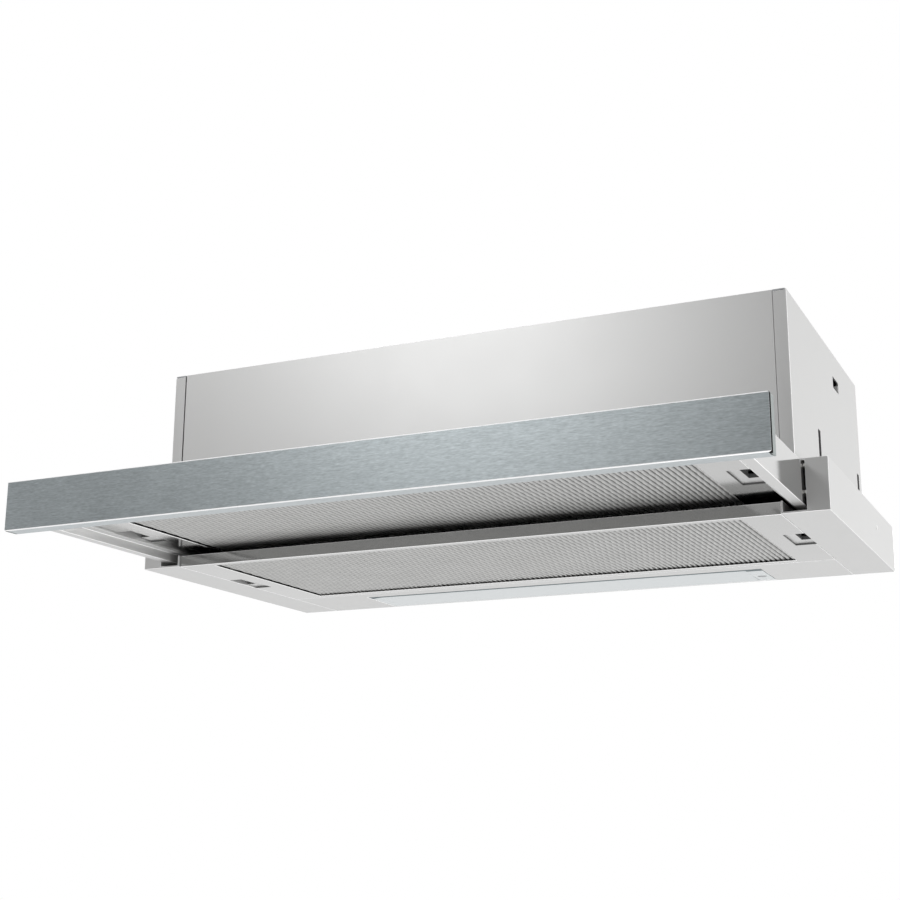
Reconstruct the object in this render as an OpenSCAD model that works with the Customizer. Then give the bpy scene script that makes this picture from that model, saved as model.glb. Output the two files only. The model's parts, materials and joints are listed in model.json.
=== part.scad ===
// Pull out range hood, 60 cm class: a slim box with a tray below it, and a drawer that
// carries the fascia and the first grease filter. Drawn with the drawer pulled out.
// X runs left to right, Y front to back, Z up. Z is zero at the underside.

/* [Overall] */
// Width over the tray and the fascia
hood_w = 598; // [560:1:898]
// Height from the underside to the top of the box
hood_h = 173; // [168:1:260]
// Depth of the lamp's bay, from the fixed filter to the back of the tray
lamp_bay_d = 81; // [78:1:120]
// Height of the fixed tray
tray_h = 40.2; // [39.8:0.1:46]
// How far the drawer is pulled out of the tray
travel = 164.5; // [120:0.5:180]
// Thickness of the steel sheet
sheet = 1.2; // [0.8:0.1:1.5]
// Gap between neighbouring pieces that don't touch
fit = 0.3; // [0.2:0.05:0.4]

/* [Box] */
// Width of the tray's rim on each side of the box
rim_w = 23.6; // [18:0.2:24]
// Step from the rear wall of the tray to the back of the box
box_rear_gap = 6; // [4:0.5:12]
// Distance by which the box stands ahead of the tray's front plane
box_lead = 1; // [0.6:0.1:2]
// Width of the side panels' flanges on the front and the back
corner_flange_w = 10.4; // [8:0.2:16]
// Depth of the front panel behind the corner flanges
front_recess = 0.4; // [0.2:0.1:0.8]
// Depth of the folds along the edges of the panels
fold_d = 12; // [8:1:16]
// Length of the window in each side panel
window_l = 23; // [12:1:40]
// Height of the window in each side panel
window_h = 10; // [6:1:16]
// Distance from the front of the tray to the window
window_y = 165; // [120:1:200]
// Distance from the top of the box down to the window
window_drop = 22; // [16:1:60]
// Width of the upright bracket slots
slot_w = 8.5; // [4:0.5:10]
// Height of the upright bracket slots
slot_h = 25; // [16:1:30]
// Distance from the tray's top to the bracket slots
slot_rise = 21; // [16:1:40]
// Distance from the front of the tray to the front bracket slot
slot_front_y = 90.5; // [60:0.5:110]
// Distance between the two bracket slots
slot_pitch = 162.5; // [120:0.5:165]

/* [Side guides] */
// Width of each guide, from the outside to its inner lip
guide_w = 36; // [34:0.5:44]
// Wall of the guides
guide_t = 1.5; // [1.2:0.1:1.7]
// Width of the hollow beam on the outer side of each guide
beam_w = 17; // [13:0.5:18]
// Height of the inner lip that the filter latches into
lip_h = 10; // [9.8:0.1:10.6]
// Height of the two glide strips on the channel wall
strip_h = 2; // [1.5:0.1:4]
// Heights of the two glide strips above the underside
strip_z = [14, 34];
// Length of the glide strips
strip_l = 120; // [60:1:200]
// Length of the pad that carries each rail
pad_l = 25; // [15:1:40]
// Distance from the front of the tray to the pads
pad_y = 20; // [10:1:30]
// Diameter of the cabinet screw holes in the rim
cabinet_hole_d = 4.5; // [3.5:0.1:6]
// Distance from the outside of the tray to the cabinet screw holes
cabinet_hole_inset = 8; // [5:0.5:10]
// Distance from the front of the tray to the first cabinet screw hole
cabinet_hole_y = 40; // [20:1:70]
// Distance between the cabinet screw holes, front to back
cabinet_hole_pitch = 190; // [120:1:195]
// Diameter of the spacer hole in the outer wall of each guide
spacer_hole_d = 3.5; // [2.5:0.1:5]
// Distance from the front of the tray to the spacer hole
spacer_hole_y = 196; // [150:1:240]
// Height of the spacer hole
spacer_hole_z = 24; // [15:1:30]

/* [Drawer] */
// Gap behind the fascia when the drawer is pushed in
close_gap = 0.5; // [0.3:0.1:1]
// Depth of the fascia
fascia_d = 13; // [11:0.5:20]
// Height of the fascia
fascia_h = 39.1; // [37:0.1:39.1]
// Height of the fascia's lower edge above the underside
fascia_z = 0.7; // [0.4:0.1:0.7]
// Thickness of the fascia's stainless skin
skin = 1; // [0.7:0.1:1.2]
// Thickness of the fascia's end caps
cap_t = 1.6; // [1.2:0.1:3]
// Thickness of the plate behind the fascia
bar_t = 2.5; // [2:0.1:3]
// Depth of the shelf that carries the switches
shelf_d = 27; // [22:1:32]
// Height of the shelf
shelf_h = 10; // [8:0.5:10.2]
// Height of a rail's lower face above the underside
rail_z = 5.2; // [4.6:0.1:6]
// Height of the rails
rail_h = 32.2; // [31.6:0.1:32.4]
// Gap between a rail and the channel wall
rail_gap = 1.5; // [1.2:0.1:2]
// Width of a rail's lower flange
rail_foot_w = 8.5; // [6:0.5:9]
// Width of a rail's upper flange
rail_top_w = 12; // [8:0.5:14]
// Drop of a rail's ledge below the filter
ledge_drop = 1.4; // [0.6:0.1:1.6]
// Height of a rail's inner lip
rail_lip_h = 11.4; // [11:0.1:11.8]
// Depth of the bar across the back of the drawer
crossbar_d = 12; // [8:1:16]
// How far the drawer's top cover still reaches under the box when pulled out
cover_lap = 27.5; // [24:0.5:34]
// Length of the rear glide shoes
shoe_l = 22; // [12:1:30]

/* [Grease filters] */
// Depth of both filters, front to back
filter_d = 195; // [180:1:195]
// Thickness of both filters
filter_t = 9.6; // [9.6:0.1:10]
// Gap between the two filters when the drawer is pushed in
filter_gap = 4.4; // [3:0.1:5]
// Thickness of the filter frames' aluminium
frame_t = 1; // [0.8:0.05:1.1]
// Width of the filter frames at the two ends
frame_end_w = 31; // [29:1:50]
// Width of the filter frames at the front
frame_front_w = 7; // [5:0.5:14]
// Width of the filter frames at the rear
frame_rear_w = 8; // [5:0.5:14]
// How far the mesh lies inside the frame's edge
mesh_edge = 4; // [2:0.5:4]
// Spacing of the ribs pressed into the mesh
rib_pitch = 4.1; // [2:0.1:8]
// Depth of the ribs pressed into the mesh
rib_depth = 1; // [0.4:0.1:1.6]
// Gap under and over the mesh in its frame
mesh_gap = 0.3; // [0.2:0.05:0.4]

/* [Filter latches] */
// Width of the latch pocket
pocket_w = 16.7; // [15:0.1:18]
// Length of the latch pocket, front to back
pocket_l = 46; // [42:1:60]
// Distance from the filter's front to the pocket
pocket_y = 75; // [40:1:110]
// Depth of the pocket to its floor
pocket_depth = 3.5; // [3:0.1:3.8]
// Width of the pocket's floor beside the finger slot
pocket_floor_w = 8; // [6.5:0.1:8.5]
// Length of the finger slot
finger_l = 32; // [24:1:34]
// Thickness of the latch plate
latch_t = 1.4; // [1.2:0.05:1.5]
// How far inside the filter's end the nose lies when the latch is drawn back
nose_inset = 1.2; // [1:0.1:2]
// How far the latch is drawn back to free the filter
latch_travel = 5; // [4.2:0.1:5.5]
// Radius of the latch spring at the middle of its wire
spring_r = 1.35; // [1.1:0.05:1.45]
// Radius of the spring wire
wire_r = 0.25; // [0.15:0.05:0.3]
// Number of curls in a latch spring
spring_curls = 6; // [4:1:8]

/* [Lamp] */
// Width of the lamp's lens
lens_w = 387.6; // [300:0.2:400]
// Depth of the lens, front to back
lens_d = 59.4; // [40:0.2:60]
// Thickness of the lens
lens_t = 2; // [1.6:0.1:2.5]
// Height of the lens above the underside
lens_z = 0.2; // [0.1:0.1:0.4]
// Width of the lens's sloping border at its two ends
lens_border_x = 9; // [5:0.5:14]
// Width of the lens's border at its front
lens_border_y = 6; // [3:0.5:10]
// Depth of the lens's middle inside its border
lens_dish = 0.8; // [0.4:0.1:1]
// Height of the lens's clip walls
lens_rim_h = 6; // [4:0.5:8]
// Height of the lamp housing
lamp_h = 20; // [16:0.5:21]
// Width of the board that carries the light emitting diodes
led_board_w = 340; // [200:1:360]
// Depth of that board
led_board_d = 20; // [12:1:40]
// Number of light emitting diodes
led_count = 20; // [8:1:40]
// Size of a light emitting diode
led_s = 5; // [3:0.5:6]
// Distance from the lens's right end to the catch
catch_inset = 7.8; // [7:0.1:9]
// Diameter of the catch's head
catch_head_d = 8; // [6:0.5:9]
// Diameter of the catch's shank
catch_d = 4; // [3:0.5:5]

/* [Blowers] */
// Distance from each blower's axis to the side panel beside it
blower_side_gap = 114.2; // [112:0.2:118]
// Distance from the front of the tray to the blowers' axes
blower_y = 128; // [120:1:140]
// Radius of the impellers
impeller_r = 60; // [50:1:62]
// Height of the impellers
impeller_h = 60; // [40:1:62]
// Number of blades on an impeller
blade_count = 30; // [16:1:40]
// Length of the blades along the radius
blade_l = 13; // [8:0.5:16]
// Slope of the blades from the radius
blade_lean = 35; // [10:1:45]
// Radius of the spiral housing where it starts
scroll_r0 = 67; // [66:0.5:70]
// Radius of the spiral housing where it ends
scroll_r1 = 100; // [95:1:104]
// Height of the spiral housing
scroll_h = 88; // [84:1:92]
// Width of the spiral housing's outlet
outlet_w = 40; // [30:1:44]
// Wall of the plastic housings
shell_t = 2; // [1.5:0.1:2.5]
// Radius of the inlet mouth
inlet_r = 54; // [45:0.5:54]
// Height of the rim inside the inlet mouth
inlet_rim_h = 11; // [6:0.5:12]
// Radius of the motors
motor_r = 32; // [25:0.5:34]
// Height of the motors
motor_h = 48; // [36:1:50]
// Diameter of the motor shafts
shaft_d = 8; // [6:0.5:10]
// Running clearance round a shaft, on the radius
shaft_fit = 0.05; // [0.02:0.01:0.1]

/* [Outlet] */
// Outer radius of the duct collar
collar_r = 59.5; // [49:0.5:60]
// Height of the duct collar above the box
collar_h = 28; // [20:1:30]
// Wall of the duct collar
collar_t = 1.5; // [1.2:0.1:2]
// Distance from the front of the tray to the collar's axis
collar_y = 140; // [136:1:150]
// Radius of the collar's flange
collar_flange_r = 74; // [70:1:76]
// Width of the plenum between the blowers
plenum_w = 124; // [122:1:124]
// Depth of the plenum
plenum_d = 156; // [152:1:160]
// Thickness of the non-return flaps
flap_t = 1.2; // [0.8:0.1:2]
// Distance from the collar's axis to each flap's hinge
flap_hinge_y = 4; // [3:0.5:6]
// Radius of a flap's hinge barrel
barrel_r = 2.2; // [1.8:0.1:2.6]
// Radius of a flap's hinge pins
flap_pin_r = 1.2; // [0.8:0.1:1.4]

/* [Controls] */
// Size of the switch knobs, along the hood
knob_w = 10; // [8:0.5:14]
// Size of the switch knobs, front to back
knob_d = 8; // [6:0.5:12]
// Travel of the light switch
light_travel = 8; // [4:0.5:12]
// Travel of the speed switch
speed_travel = 18; // [12:0.5:24]
// Distance from the middle of the hood to the light switch
light_x = 205; // [150:1:230]
// Distance from the middle of the hood to the speed switch
speed_x = 150; // [100:1:175]
// Width of the electronics housing
control_w = 100; // [80:1:120]
// Depth of the electronics housing
control_d = 58; // [50:1:62]
// Height of the electronics housing
control_h = 40; // [30:1:60]
// Travel of the drawer switch's plunger
plunger_travel = 1.5; // [1:0.1:2]

/* [Hidden] */
$fn = 64;

// One overrun for every cut
over = 1;
// Half the width of the hood
half_w = hood_w / 2;
// Filters, from the tray's front plane when the drawer is pushed in
body_filter_y = 2;
drawer_filter_y = 2.5;
tray_d = body_filter_y + filter_d + lamp_bay_d;
// Row position of the tray's front plane: the pulled-out hood is centred on Y
front_y = (travel + close_gap + fascia_d - tray_d) / 2;
// Inner face of the guides' lips
lip_x = half_w - guide_w;
// Inner face of the guides' channel walls
channel_x = half_w - beam_w;
// Outer face of the box and inner face of its side panels
box_x = half_w - rim_w;
box_in_x = box_x - sheet;
box_y0 = -box_lead;
box_y1 = tray_d - box_rear_gap;
rear_y = tray_d - sheet;
// Half width of the front and back panels, between the corner flanges
panel_x = box_x - corner_flange_w - fit;
roof_z = hood_h - sheet;
// Outer face of the rails, and the heights of their parts
rail_x = channel_x - rail_gap;
rail_top_z = rail_z + rail_h;
rail_foot_x = rail_x - rail_foot_w;
drawer_filter_z = filter_t + filter_gap;
ledge_z = drawer_filter_z - ledge_drop;
rail_lip_x = lip_x + sheet;
// The shelf hangs under the rails' upper flanges
cover_z = rail_top_z - 2 * sheet;
shelf_z = cover_z - shelf_h;
fascia_back_y = -close_gap;
fascia_front_y = fascia_back_y - fascia_d;
fascia_top_z = fascia_z + fascia_h;
cover_end = travel + cover_lap;
// Filters
filter_x = lip_x - fit;
mesh_x = filter_x - frame_end_w;
hook_w = 20;
hook_x = 110;
hook_l = 4;
crest_share = 0.6;
// Latch, in the filter's own frame
pocket_x = filter_x - pocket_w;
finger_x = pocket_x + pocket_floor_w;
nose_reach = latch_travel - nose_inset;
latch_top_z = filter_t - frame_t - fit;
latch_low_z = pocket_depth + frame_t + fit;
latch_y0 = pocket_y + fit + frame_t;
latch_y1 = pocket_y + finger_l - fit - frame_t;
spring_seat_x = mesh_x + mesh_edge + frame_t;
spring_z = (latch_top_z + latch_low_z) / 2;
spring_y = (latch_y0 + latch_y1) / 2;
spring_seat_w = 12;
spring_rings = 8;
wire_sides = 6;
// Lamp
lens_y0 = box_y1 + box_rear_gap - sheet - lens_d - 2 * fit - sheet;
lamp_wall_x = lens_w / 2 + fit;
catch_x = lens_w / 2 - catch_inset;
catch_place_share = 0.65;
catch_y = lens_y0 + lens_d * catch_place_share;
catch_boss_r = catch_head_d / 2 + 2 * fit + sheet;
catch_boss_h = 4.3;
catch_head_t = 1.6;
catch_wing_w = 3;
catch_wing_t = 1.5;
catch_wing_reach = catch_inset + fit + sheet;
catch_slot_l = 14;
// Blowers
blower_x = box_in_x - blower_side_gap;
scroll_top_z = roof_z;
scroll_low_z = scroll_top_z - scroll_h;
outlet_y0 = scroll_r1 - outlet_w;
scroll_start = 112;
scroll_sweep = 338;
scroll_steps = 52;
impeller_rise = 14;
impeller_low_z = scroll_low_z + impeller_rise;
impeller_top_z = impeller_low_z + impeller_h;
disc_t = 1.5;
blade_t = 1;
spider_h = 4;
spider_w = 7;
spider_hub_r = 20;
spider_angles = [90, 210, 330];
motor_boss_r = 9;
motor_boss_h = 4;
hub_r = 9;
hub_h = 14;
shaft_end = 2;
// Outlet
plenum_front_w = 62;
plenum_y0 = collar_y - plenum_front_w;
collar_in_r = collar_r - collar_t;
seat_w = 4;
seat_rise = 8;
seat_z = hood_h + seat_rise;
flap_z = seat_z + sheet + fit;
flap_axis_z = flap_z + barrel_r;
flap_r = collar_in_r - 2 * fit;
barrel_half_l = 52;
hinge_fit = 0.05;
// Screws
screw_r = 1.5;
screw_head_r = 3.4;
screw_head_h = 1.8;
screw_l = 8;
edge_screw_inset = 31.5;
edge_screw_y = [box_y0 + edge_screw_inset, (box_y0 + box_y1) / 2, box_y1 - edge_screw_inset];
edge_screw_x = box_in_x - fold_d / 2;
collar_screw_r = (collar_r + collar_flange_r) / 2;
collar_screw_angles = [45, 135, 225, 315];
blower_screw_angles = [200, 290, 20];
blower_screw_r = impeller_r - 2 * screw_head_r;
// Electronics
control_y = 8;
control_low_z = roof_z - control_h;
board_t = 1.6;
board_rise = 8;
board_margin = 4;
capacitor_r = 8;
capacitor_l = 34;
capacitor_x = 22;
gland_inset_x = 49.2;
gland_inset_y = 34;
gland_x = gland_inset_x - box_in_x;
gland_y = box_y1 - gland_inset_y;
gland_r = 8;
gland_nut_r = 11;
gland_h = 12;
gland_nut_h = 4;
gland_bore_r = 4;
// Drawer switch
switch_x = 200;
switch_w = 20;
switch_d = 10.8;
switch_h = 9;
switch_z = 25;
plunger_r = 1.2;
plunger_out = 3.4;
plunger_in = 3.3;
plunger_reserve = 0.4;
plunger_well = plunger_in + plunger_travel + plunger_reserve;
// The rails end just ahead of the drawer switch's plunger
rail_l = rear_y - switch_d - plunger_out - 2 * fit;
// Slider switches
knob_h = 1.9;
stem_w = 3;
foot_w = 8;
foot_d = 6;
foot_h = 2;
knob_y = 13;

// A box from its low corner to its high corner
module span(lo, hi) translate(lo) cube(hi - lo);

// A right-hand piece, or its mirror image on the left
module on_side(side) {
  if (side < 0) mirror([1, 0, 0]) children();
  else children();
}

// A fixed piece, drawn from the tray's front plane
module fixed() translate([0, front_y, 0]) children();

// A drawer piece, drawn where it lies when pushed in and shown pulled out
module drawn() translate([0, front_y - travel, 0]) children();

// A round bar of radius r, along X or along Y between two places
module drum_x(r, x0, x1) translate([x0, 0, 0]) rotate([0, 90, 0]) cylinder(r = r, h = x1 - x0);
module drum_y(r, y0, y1) translate([0, y1, 0]) rotate([90, 0, 0]) cylinder(r = r, h = y1 - y0);

// Side guide: floor, outer beam, channel wall, the lip that the filter latches into, and a
// rim that a fine groove sets off from the seat of the box
module guide(side) {
  color("#c9cac8") fixed() on_side(side) difference() {
    union() {
      span([lip_x, 0, 0], [half_w, rear_y, guide_t]);
      span([half_w - guide_t, 0, 0], [half_w, rear_y, tray_h]);
      span([lip_x, 0, tray_h - guide_t], [half_w, rear_y, tray_h]);
      span([channel_x, 0, 0], [channel_x + guide_t, rear_y, tray_h]);
      span([channel_x, 0, 0], [half_w, guide_t, tray_h]);
      span([lip_x, 0, 0], [lip_x + guide_t, body_filter_y + filter_d, lip_h]);
    }
    translate([0, body_filter_y, 0]) nose_window(lip_x);
    span([box_x, -over, tray_h - fit], [box_x + fit, rear_y + over, tray_h + over]);
    translate([0, spacer_hole_y, spacer_hole_z]) {
      drum_x(spacer_hole_d / 2, half_w - guide_t - over, half_w + over);
    }
    for (y = [cabinet_hole_y, cabinet_hole_y + cabinet_hole_pitch]) {
      translate([half_w - cabinet_hole_inset, y, tray_h - guide_t - over]) {
        cylinder(d = cabinet_hole_d, h = guide_t + 2 * over);
      }
    }
  }
}

// Window for a latch nose, cut in the wall that starts at x
module nose_window(x) {
  span([x - over, latch_y0 - frame_t, latch_top_z - latch_t - fit],
       [x + guide_t + over, latch_y1 + frame_t, latch_top_z + fit]);
}

// Rear panel: the tray's rear wall and the floor round the lamp, in one bent sheet
module rear_panel() {
  color("#c8c8c6") fixed() difference() {
    union() {
      span([-half_w, rear_y, 0], [half_w, tray_d, tray_h]);
      span([-filter_x, body_filter_y + filter_d + fit, 0], [filter_x, tray_d, sheet]);
      span([-filter_x, body_filter_y + filter_d + fit, 0],
           [filter_x, body_filter_y + filter_d + fit + sheet, latch_top_z - fit]);
      span([-filter_x, rear_y - fold_d, tray_h - sheet], [filter_x, tray_d, tray_h]);
    }
    span([-lamp_wall_x, lens_y0 - fit, -over],
         [lamp_wall_x, lens_y0 + lens_d + fit, sheet + over]);
  }
}

// Side panel of the box, with a flange round each edge, a window and two bracket slots
module side_panel(side) {
  color("#dcdcda") fixed() on_side(side) difference() {
    union() {
      span([box_in_x, box_y0, tray_h], [box_x, box_y1, hood_h]);
      span([box_x - corner_flange_w, box_y0, tray_h], [box_x, box_y0 + sheet, roof_z]);
      span([box_x - corner_flange_w, box_y1 - sheet, tray_h], [box_x, box_y1, roof_z]);
      span([box_in_x - fold_d, box_y0 + fold_d, tray_h], [box_x, box_y1 - fold_d, tray_h + sheet]);
      span([box_in_x - fold_d, box_y0 + fold_d, roof_z - sheet], [box_x, box_y1 - fold_d, roof_z]);
    }
    span([box_in_x - over, window_y, hood_h - window_drop - window_h],
         [box_x + over, window_y + window_l, hood_h - window_drop]);
    for (y = [slot_front_y, slot_front_y + slot_pitch]) {
      span([box_in_x - over, y, tray_h + slot_rise],
           [box_x + over, y + slot_w, tray_h + slot_rise + slot_h]);
    }
    edge_screw_holes();
  }
}

// Holes for the screws along the top edges, on the right
module edge_screw_holes() {
  for (y = edge_screw_y) translate([edge_screw_x, y, hood_h - screw_l - over]) {
    cylinder(r = screw_r, h = screw_l + 2 * over);
  }
}

// A panel between the corner flanges, from its outer face at y, folded towards dir at its sides
module flat_panel(y, dir) {
  translate([0, y, 0]) mirror([0, dir < 0 ? 1 : 0, 0]) {
    span([-panel_x, 0, tray_h + fit], [panel_x, sheet, hood_h]);
    for (s = [-1, 1]) on_side(s) {
      span([panel_x - sheet, 0, tray_h + fit], [panel_x, fold_d, roof_z - sheet - fit]);
    }
    span([-panel_x, 0, tray_h + fit], [panel_x, fold_d, tray_h + fit + sheet]);
  }
}
module front_panel() color("#c6c6c6") fixed() flat_panel(box_y0 + front_recess, 1);
module back_panel() color("#c6c6c6") fixed() flat_panel(box_y1 - front_recess, -1);

// Top panel: a tongue at each corner covers the ends of the flanges
module top_panel() {
  color("#9a9b9b") fixed() difference() {
    union() {
      span([-box_in_x, box_y0 + front_recess + sheet, roof_z],
           [box_in_x, box_y1 - front_recess - sheet, hood_h]);
      for (s = [-1, 1]) on_side(s) {
        span([panel_x + fit, box_y0, roof_z], [box_in_x, box_y1, hood_h]);
      }
    }
    translate([0, collar_y, roof_z - over]) cylinder(r = collar_r, h = sheet + 2 * over);
    for (s = [-1, 1]) on_side(s) edge_screw_holes();
    for (a = collar_screw_angles) translate([0, collar_y, 0]) rotate([0, 0, a]) {
      translate([collar_screw_r, 0, roof_z - over]) cylinder(r = screw_r, h = sheet + 2 * over);
    }
    blower_screw_places() cylinder(r = screw_r, h = 2 * screw_l, center = true);
    translate([gland_x, gland_y, roof_z - over]) cylinder(r = gland_r, h = sheet + 2 * over);
  }
}

// Strips and pads in the guides' channels, on which the rails slide
module glide_strips() {
  color("#e8e8e6") fixed() for (s = [-1, 1]) on_side(s) {
    for (z = strip_z) {
      span([rail_x + fit, fit, z], [channel_x, strip_l, z + strip_h]);
    }
    span([rail_foot_x + fit, pad_y, guide_t], [rail_x - fit, pad_y + pad_l, rail_z - fit]);
  }
}

// Filter frame of folded aluminium, with a latch pocket at each end; hooks at y = hook_at
module filter_frame(hook_at, hook_dir, hook_z) {
  difference() {
    span([-filter_x, 0, 0], [filter_x, filter_d, filter_t]);
    span([-filter_x + frame_t, frame_t, frame_t],
         [filter_x - frame_t, filter_d - frame_t, filter_t - frame_t]);
    span([-mesh_x, frame_front_w, -over],
         [mesh_x, filter_d - frame_rear_w, filter_t + over]);
    for (s = [-1, 1]) on_side(s) {
      span([pocket_x, pocket_y, -over], [filter_x + over, pocket_y + pocket_l, pocket_depth]);
      nose_window(filter_x - guide_t);
      span([filter_x - frame_t - over, pocket_y, -over],
           [filter_x + over, pocket_y + finger_l, latch_top_z + fit]);
    }
  }
  for (s = [-1, 1]) on_side(s) {
    pocket_cup();
    span([spring_seat_x, spring_y - spring_seat_w / 2, frame_t],
         [spring_seat_x + frame_t, spring_y + spring_seat_w / 2, filter_t - frame_t]);
  }
  for (s = [-1, 1]) translate([s * hook_x - hook_w / 2, hook_at, hook_z]) {
    mirror([0, hook_dir < 0 ? 1 : 0, 0]) span([0, -frame_t, 0], [hook_w, hook_l, frame_t]);
  }
}

// Walls and floor of a latch pocket; the floor leaves the finger slot open
module pocket_cup() {
  floor_top = pocket_depth + frame_t;
  span([pocket_x - frame_t, pocket_y - frame_t, 0], [pocket_x, pocket_y + pocket_l + frame_t, floor_top]);
  span([pocket_x - frame_t, pocket_y + pocket_l, 0],
       [filter_x, pocket_y + pocket_l + frame_t, floor_top]);
  span([pocket_x - frame_t, pocket_y - frame_t, 0], [filter_x, pocket_y, floor_top]);
  span([pocket_x, pocket_y, pocket_depth], [finger_x, pocket_y + pocket_l, floor_top]);
  span([pocket_x, pocket_y + finger_l, pocket_depth], [filter_x, pocket_y + pocket_l, floor_top]);
}

// Expanded aluminium pad: its underside is pressed into ribs that run front to back
module filter_mesh() {
  edge_x = mesh_x + mesh_edge;
  low = frame_t + mesh_gap;
  high = filter_t - frame_t - mesh_gap;
  ribs = floor(2 * mesh_x / rib_pitch);
  start = -ribs * rib_pitch / 2;
  wave = [for (i = [0 : ribs - 1]) each [
    [start + i * rib_pitch, low],
    [start + (i + crest_share) * rib_pitch, low + rib_depth]
  ]];
  outline = concat([[-edge_x, low]], wave, [[edge_x, low], [edge_x, high], [-edge_x, high]]);
  translate([0, filter_d - frame_rear_w + mesh_edge, 0]) rotate([90, 0, 0]) {
    linear_extrude(height = filter_d - frame_rear_w - frame_front_w + 2 * mesh_edge) polygon(outline);
  }
}

// Latch: a finger wall below a plate whose nose stands out of the filter's end
module latch(side) {
  color("#bfc1c0") on_side(side) {
    span([finger_x - latch_t, latch_y0, latch_low_z], [finger_x, latch_y1, latch_top_z]);
    span([finger_x - latch_t, latch_y0, latch_top_z - latch_t],
         [filter_x + nose_reach, latch_y1, latch_top_z]);
  }
}

// Path of a latch spring's wire: a helix round X with a straight start and end
spring_l = finger_x - latch_t - spring_seat_x - frame_t - 2 * fit;
wire_d = 2 * wire_r;
spring_turn_l = spring_l - 2 * wire_d;
spring_count = spring_curls * spring_rings;
function spring_angle(i) = 360 * i / spring_rings;
function spring_spot(x, a) = [x, spring_r * cos(a), spring_r * sin(a)];
spring_path = concat(
  [spring_spot(0, 0)],
  [for (i = [0 : spring_count]) spring_spot(wire_d + spring_turn_l * i / spring_count, spring_angle(i))],
  [spring_spot(spring_l, spring_angle(spring_count))]
);
spring_angles = concat([0], [for (i = [0 : spring_count]) spring_angle(i)], [spring_angle(spring_count)]);
spring_last = len(spring_path) - 1;
function unit(v) = v / norm(v);
function spring_way(i) = unit(spring_path[min(i + 1, spring_last)] - spring_path[max(i - 1, 0)]);
function spring_side(i) =
  let (u = [0, cos(spring_angles[i]), sin(spring_angles[i])], t = spring_way(i)) unit(u - (u * t) * t);
function spring_ring(i) =
  let (n = spring_side(i), b = cross(spring_way(i), n))
  [for (k = [0 : wire_sides - 1]) let (a = 360 * k / wire_sides)
    spring_path[i] + wire_r * (cos(a) * n + sin(a) * b)];
spring_points = concat(
  [for (i = [0 : spring_last]) each spring_ring(i)],
  [spring_path[0], spring_path[spring_last]]
);
spring_faces = concat(
  [for (i = [0 : spring_last - 1], k = [0 : wire_sides - 1])
    let (a = i * wire_sides, b = a + wire_sides, n = (k + 1) % wire_sides) each
      [[a + k, b + k, b + n], [a + k, b + n, a + n]]],
  [for (k = [0 : wire_sides - 1])
    [(spring_last + 1) * wire_sides, k, (k + 1) % wire_sides]],
  [for (k = [0 : wire_sides - 1])
    let (a = spring_last * wire_sides)
      [(spring_last + 1) * wire_sides + 1, a + (k + 1) % wire_sides, a + k]]
);
// Least gap between neighbouring curls, measured on the wire's own points
spring_gap = min([for (i = [1 : spring_last - 1 - spring_rings])
  norm(spring_path[i + spring_rings] - spring_path[i])]) - wire_d;
echo(spring_gap = spring_gap);

// Latch spring, in the filter's own frame
module latch_spring(side) {
  color("#a9abad") on_side(side) translate([spring_seat_x + frame_t + fit, spring_y, spring_z]) {
    polyhedron(points = spring_points, faces = spring_faces, convexity = 10);
  }
}

module at_body_filter() fixed() translate([0, body_filter_y, 0]) children();
module at_drawer_filter() drawn() translate([0, drawer_filter_y, drawer_filter_z]) children();

module body_filter_frame() {
  color("#cfcfcd") at_body_filter() filter_frame(filter_d, 1, latch_top_z);
}
module drawer_filter_frame() {
  color("#cfcfcd") at_drawer_filter() filter_frame(0, -1, filter_t / 2);
}
module body_filter_mesh() color("#b4b4b2") at_body_filter() filter_mesh();
module drawer_filter_mesh() color("#b4b4b2") at_drawer_filter() filter_mesh();
module body_latch(side) at_body_filter() latch(side);
module drawer_latch(side) at_drawer_filter() latch(side);
module body_spring(side) at_body_filter() latch_spring(side);
module drawer_spring(side) at_drawer_filter() latch_spring(side);

// Lamp housing: a trough that stands on the rear panel, slotted for the catch
module lamp_housing() {
  wall_x = lamp_wall_x + sheet;
  y0 = lens_y0 - fit;
  y1 = lens_y0 + lens_d + fit;
  color("#e4e4e2") fixed() difference() {
    span([-wall_x, y0 - sheet, sheet], [wall_x, y1 + sheet, sheet + lamp_h]);
    span([-lamp_wall_x, y0, sheet - over], [lamp_wall_x, y1, lamp_h]);
    span([lamp_wall_x - over, catch_y - catch_slot_l / 2, lens_z + catch_boss_h],
         [wall_x + over, catch_y + catch_slot_l / 2, lens_z + catch_boss_h + 2 * catch_wing_t]);
  }
}

// Lens: a dished plate with clip walls, and a boss for the catch
module lamp_lens() {
  x = lens_w / 2;
  top_z = lens_z + lens_t;
  color("#dfe9ef") fixed() difference() {
    union() {
      span([-x, lens_y0, lens_z], [x, lens_y0 + lens_d, top_z]);
      difference() {
        span([-x, lens_y0, lens_z], [x, lens_y0 + lens_d, top_z + lens_rim_h]);
        span([-x + sheet, lens_y0 + sheet, lens_z], [x - sheet, lens_y0 + lens_d - sheet, hood_h]);
        span([x - sheet - over, catch_y - catch_slot_l / 2, lens_z + catch_boss_h],
             [x + over, catch_y + catch_slot_l / 2, hood_h]);
      }
      translate([catch_x, catch_y, lens_z]) cylinder(r = catch_boss_r, h = catch_boss_h);
    }
    span([-x + lens_border_x, lens_y0 + lens_border_y, lens_z - over],
         [catch_x - catch_boss_r - sheet, lens_y0 + lens_d - lens_border_y, lens_z + lens_dish]);
    translate([catch_x, catch_y, lens_z - over]) {
      cylinder(r = catch_d / 2 + shaft_fit, h = catch_boss_h + 2 * over);
      cylinder(r = catch_head_d / 2 + shaft_fit, h = catch_head_t + 2 * shaft_fit + over);
    }
  }
}

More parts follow.
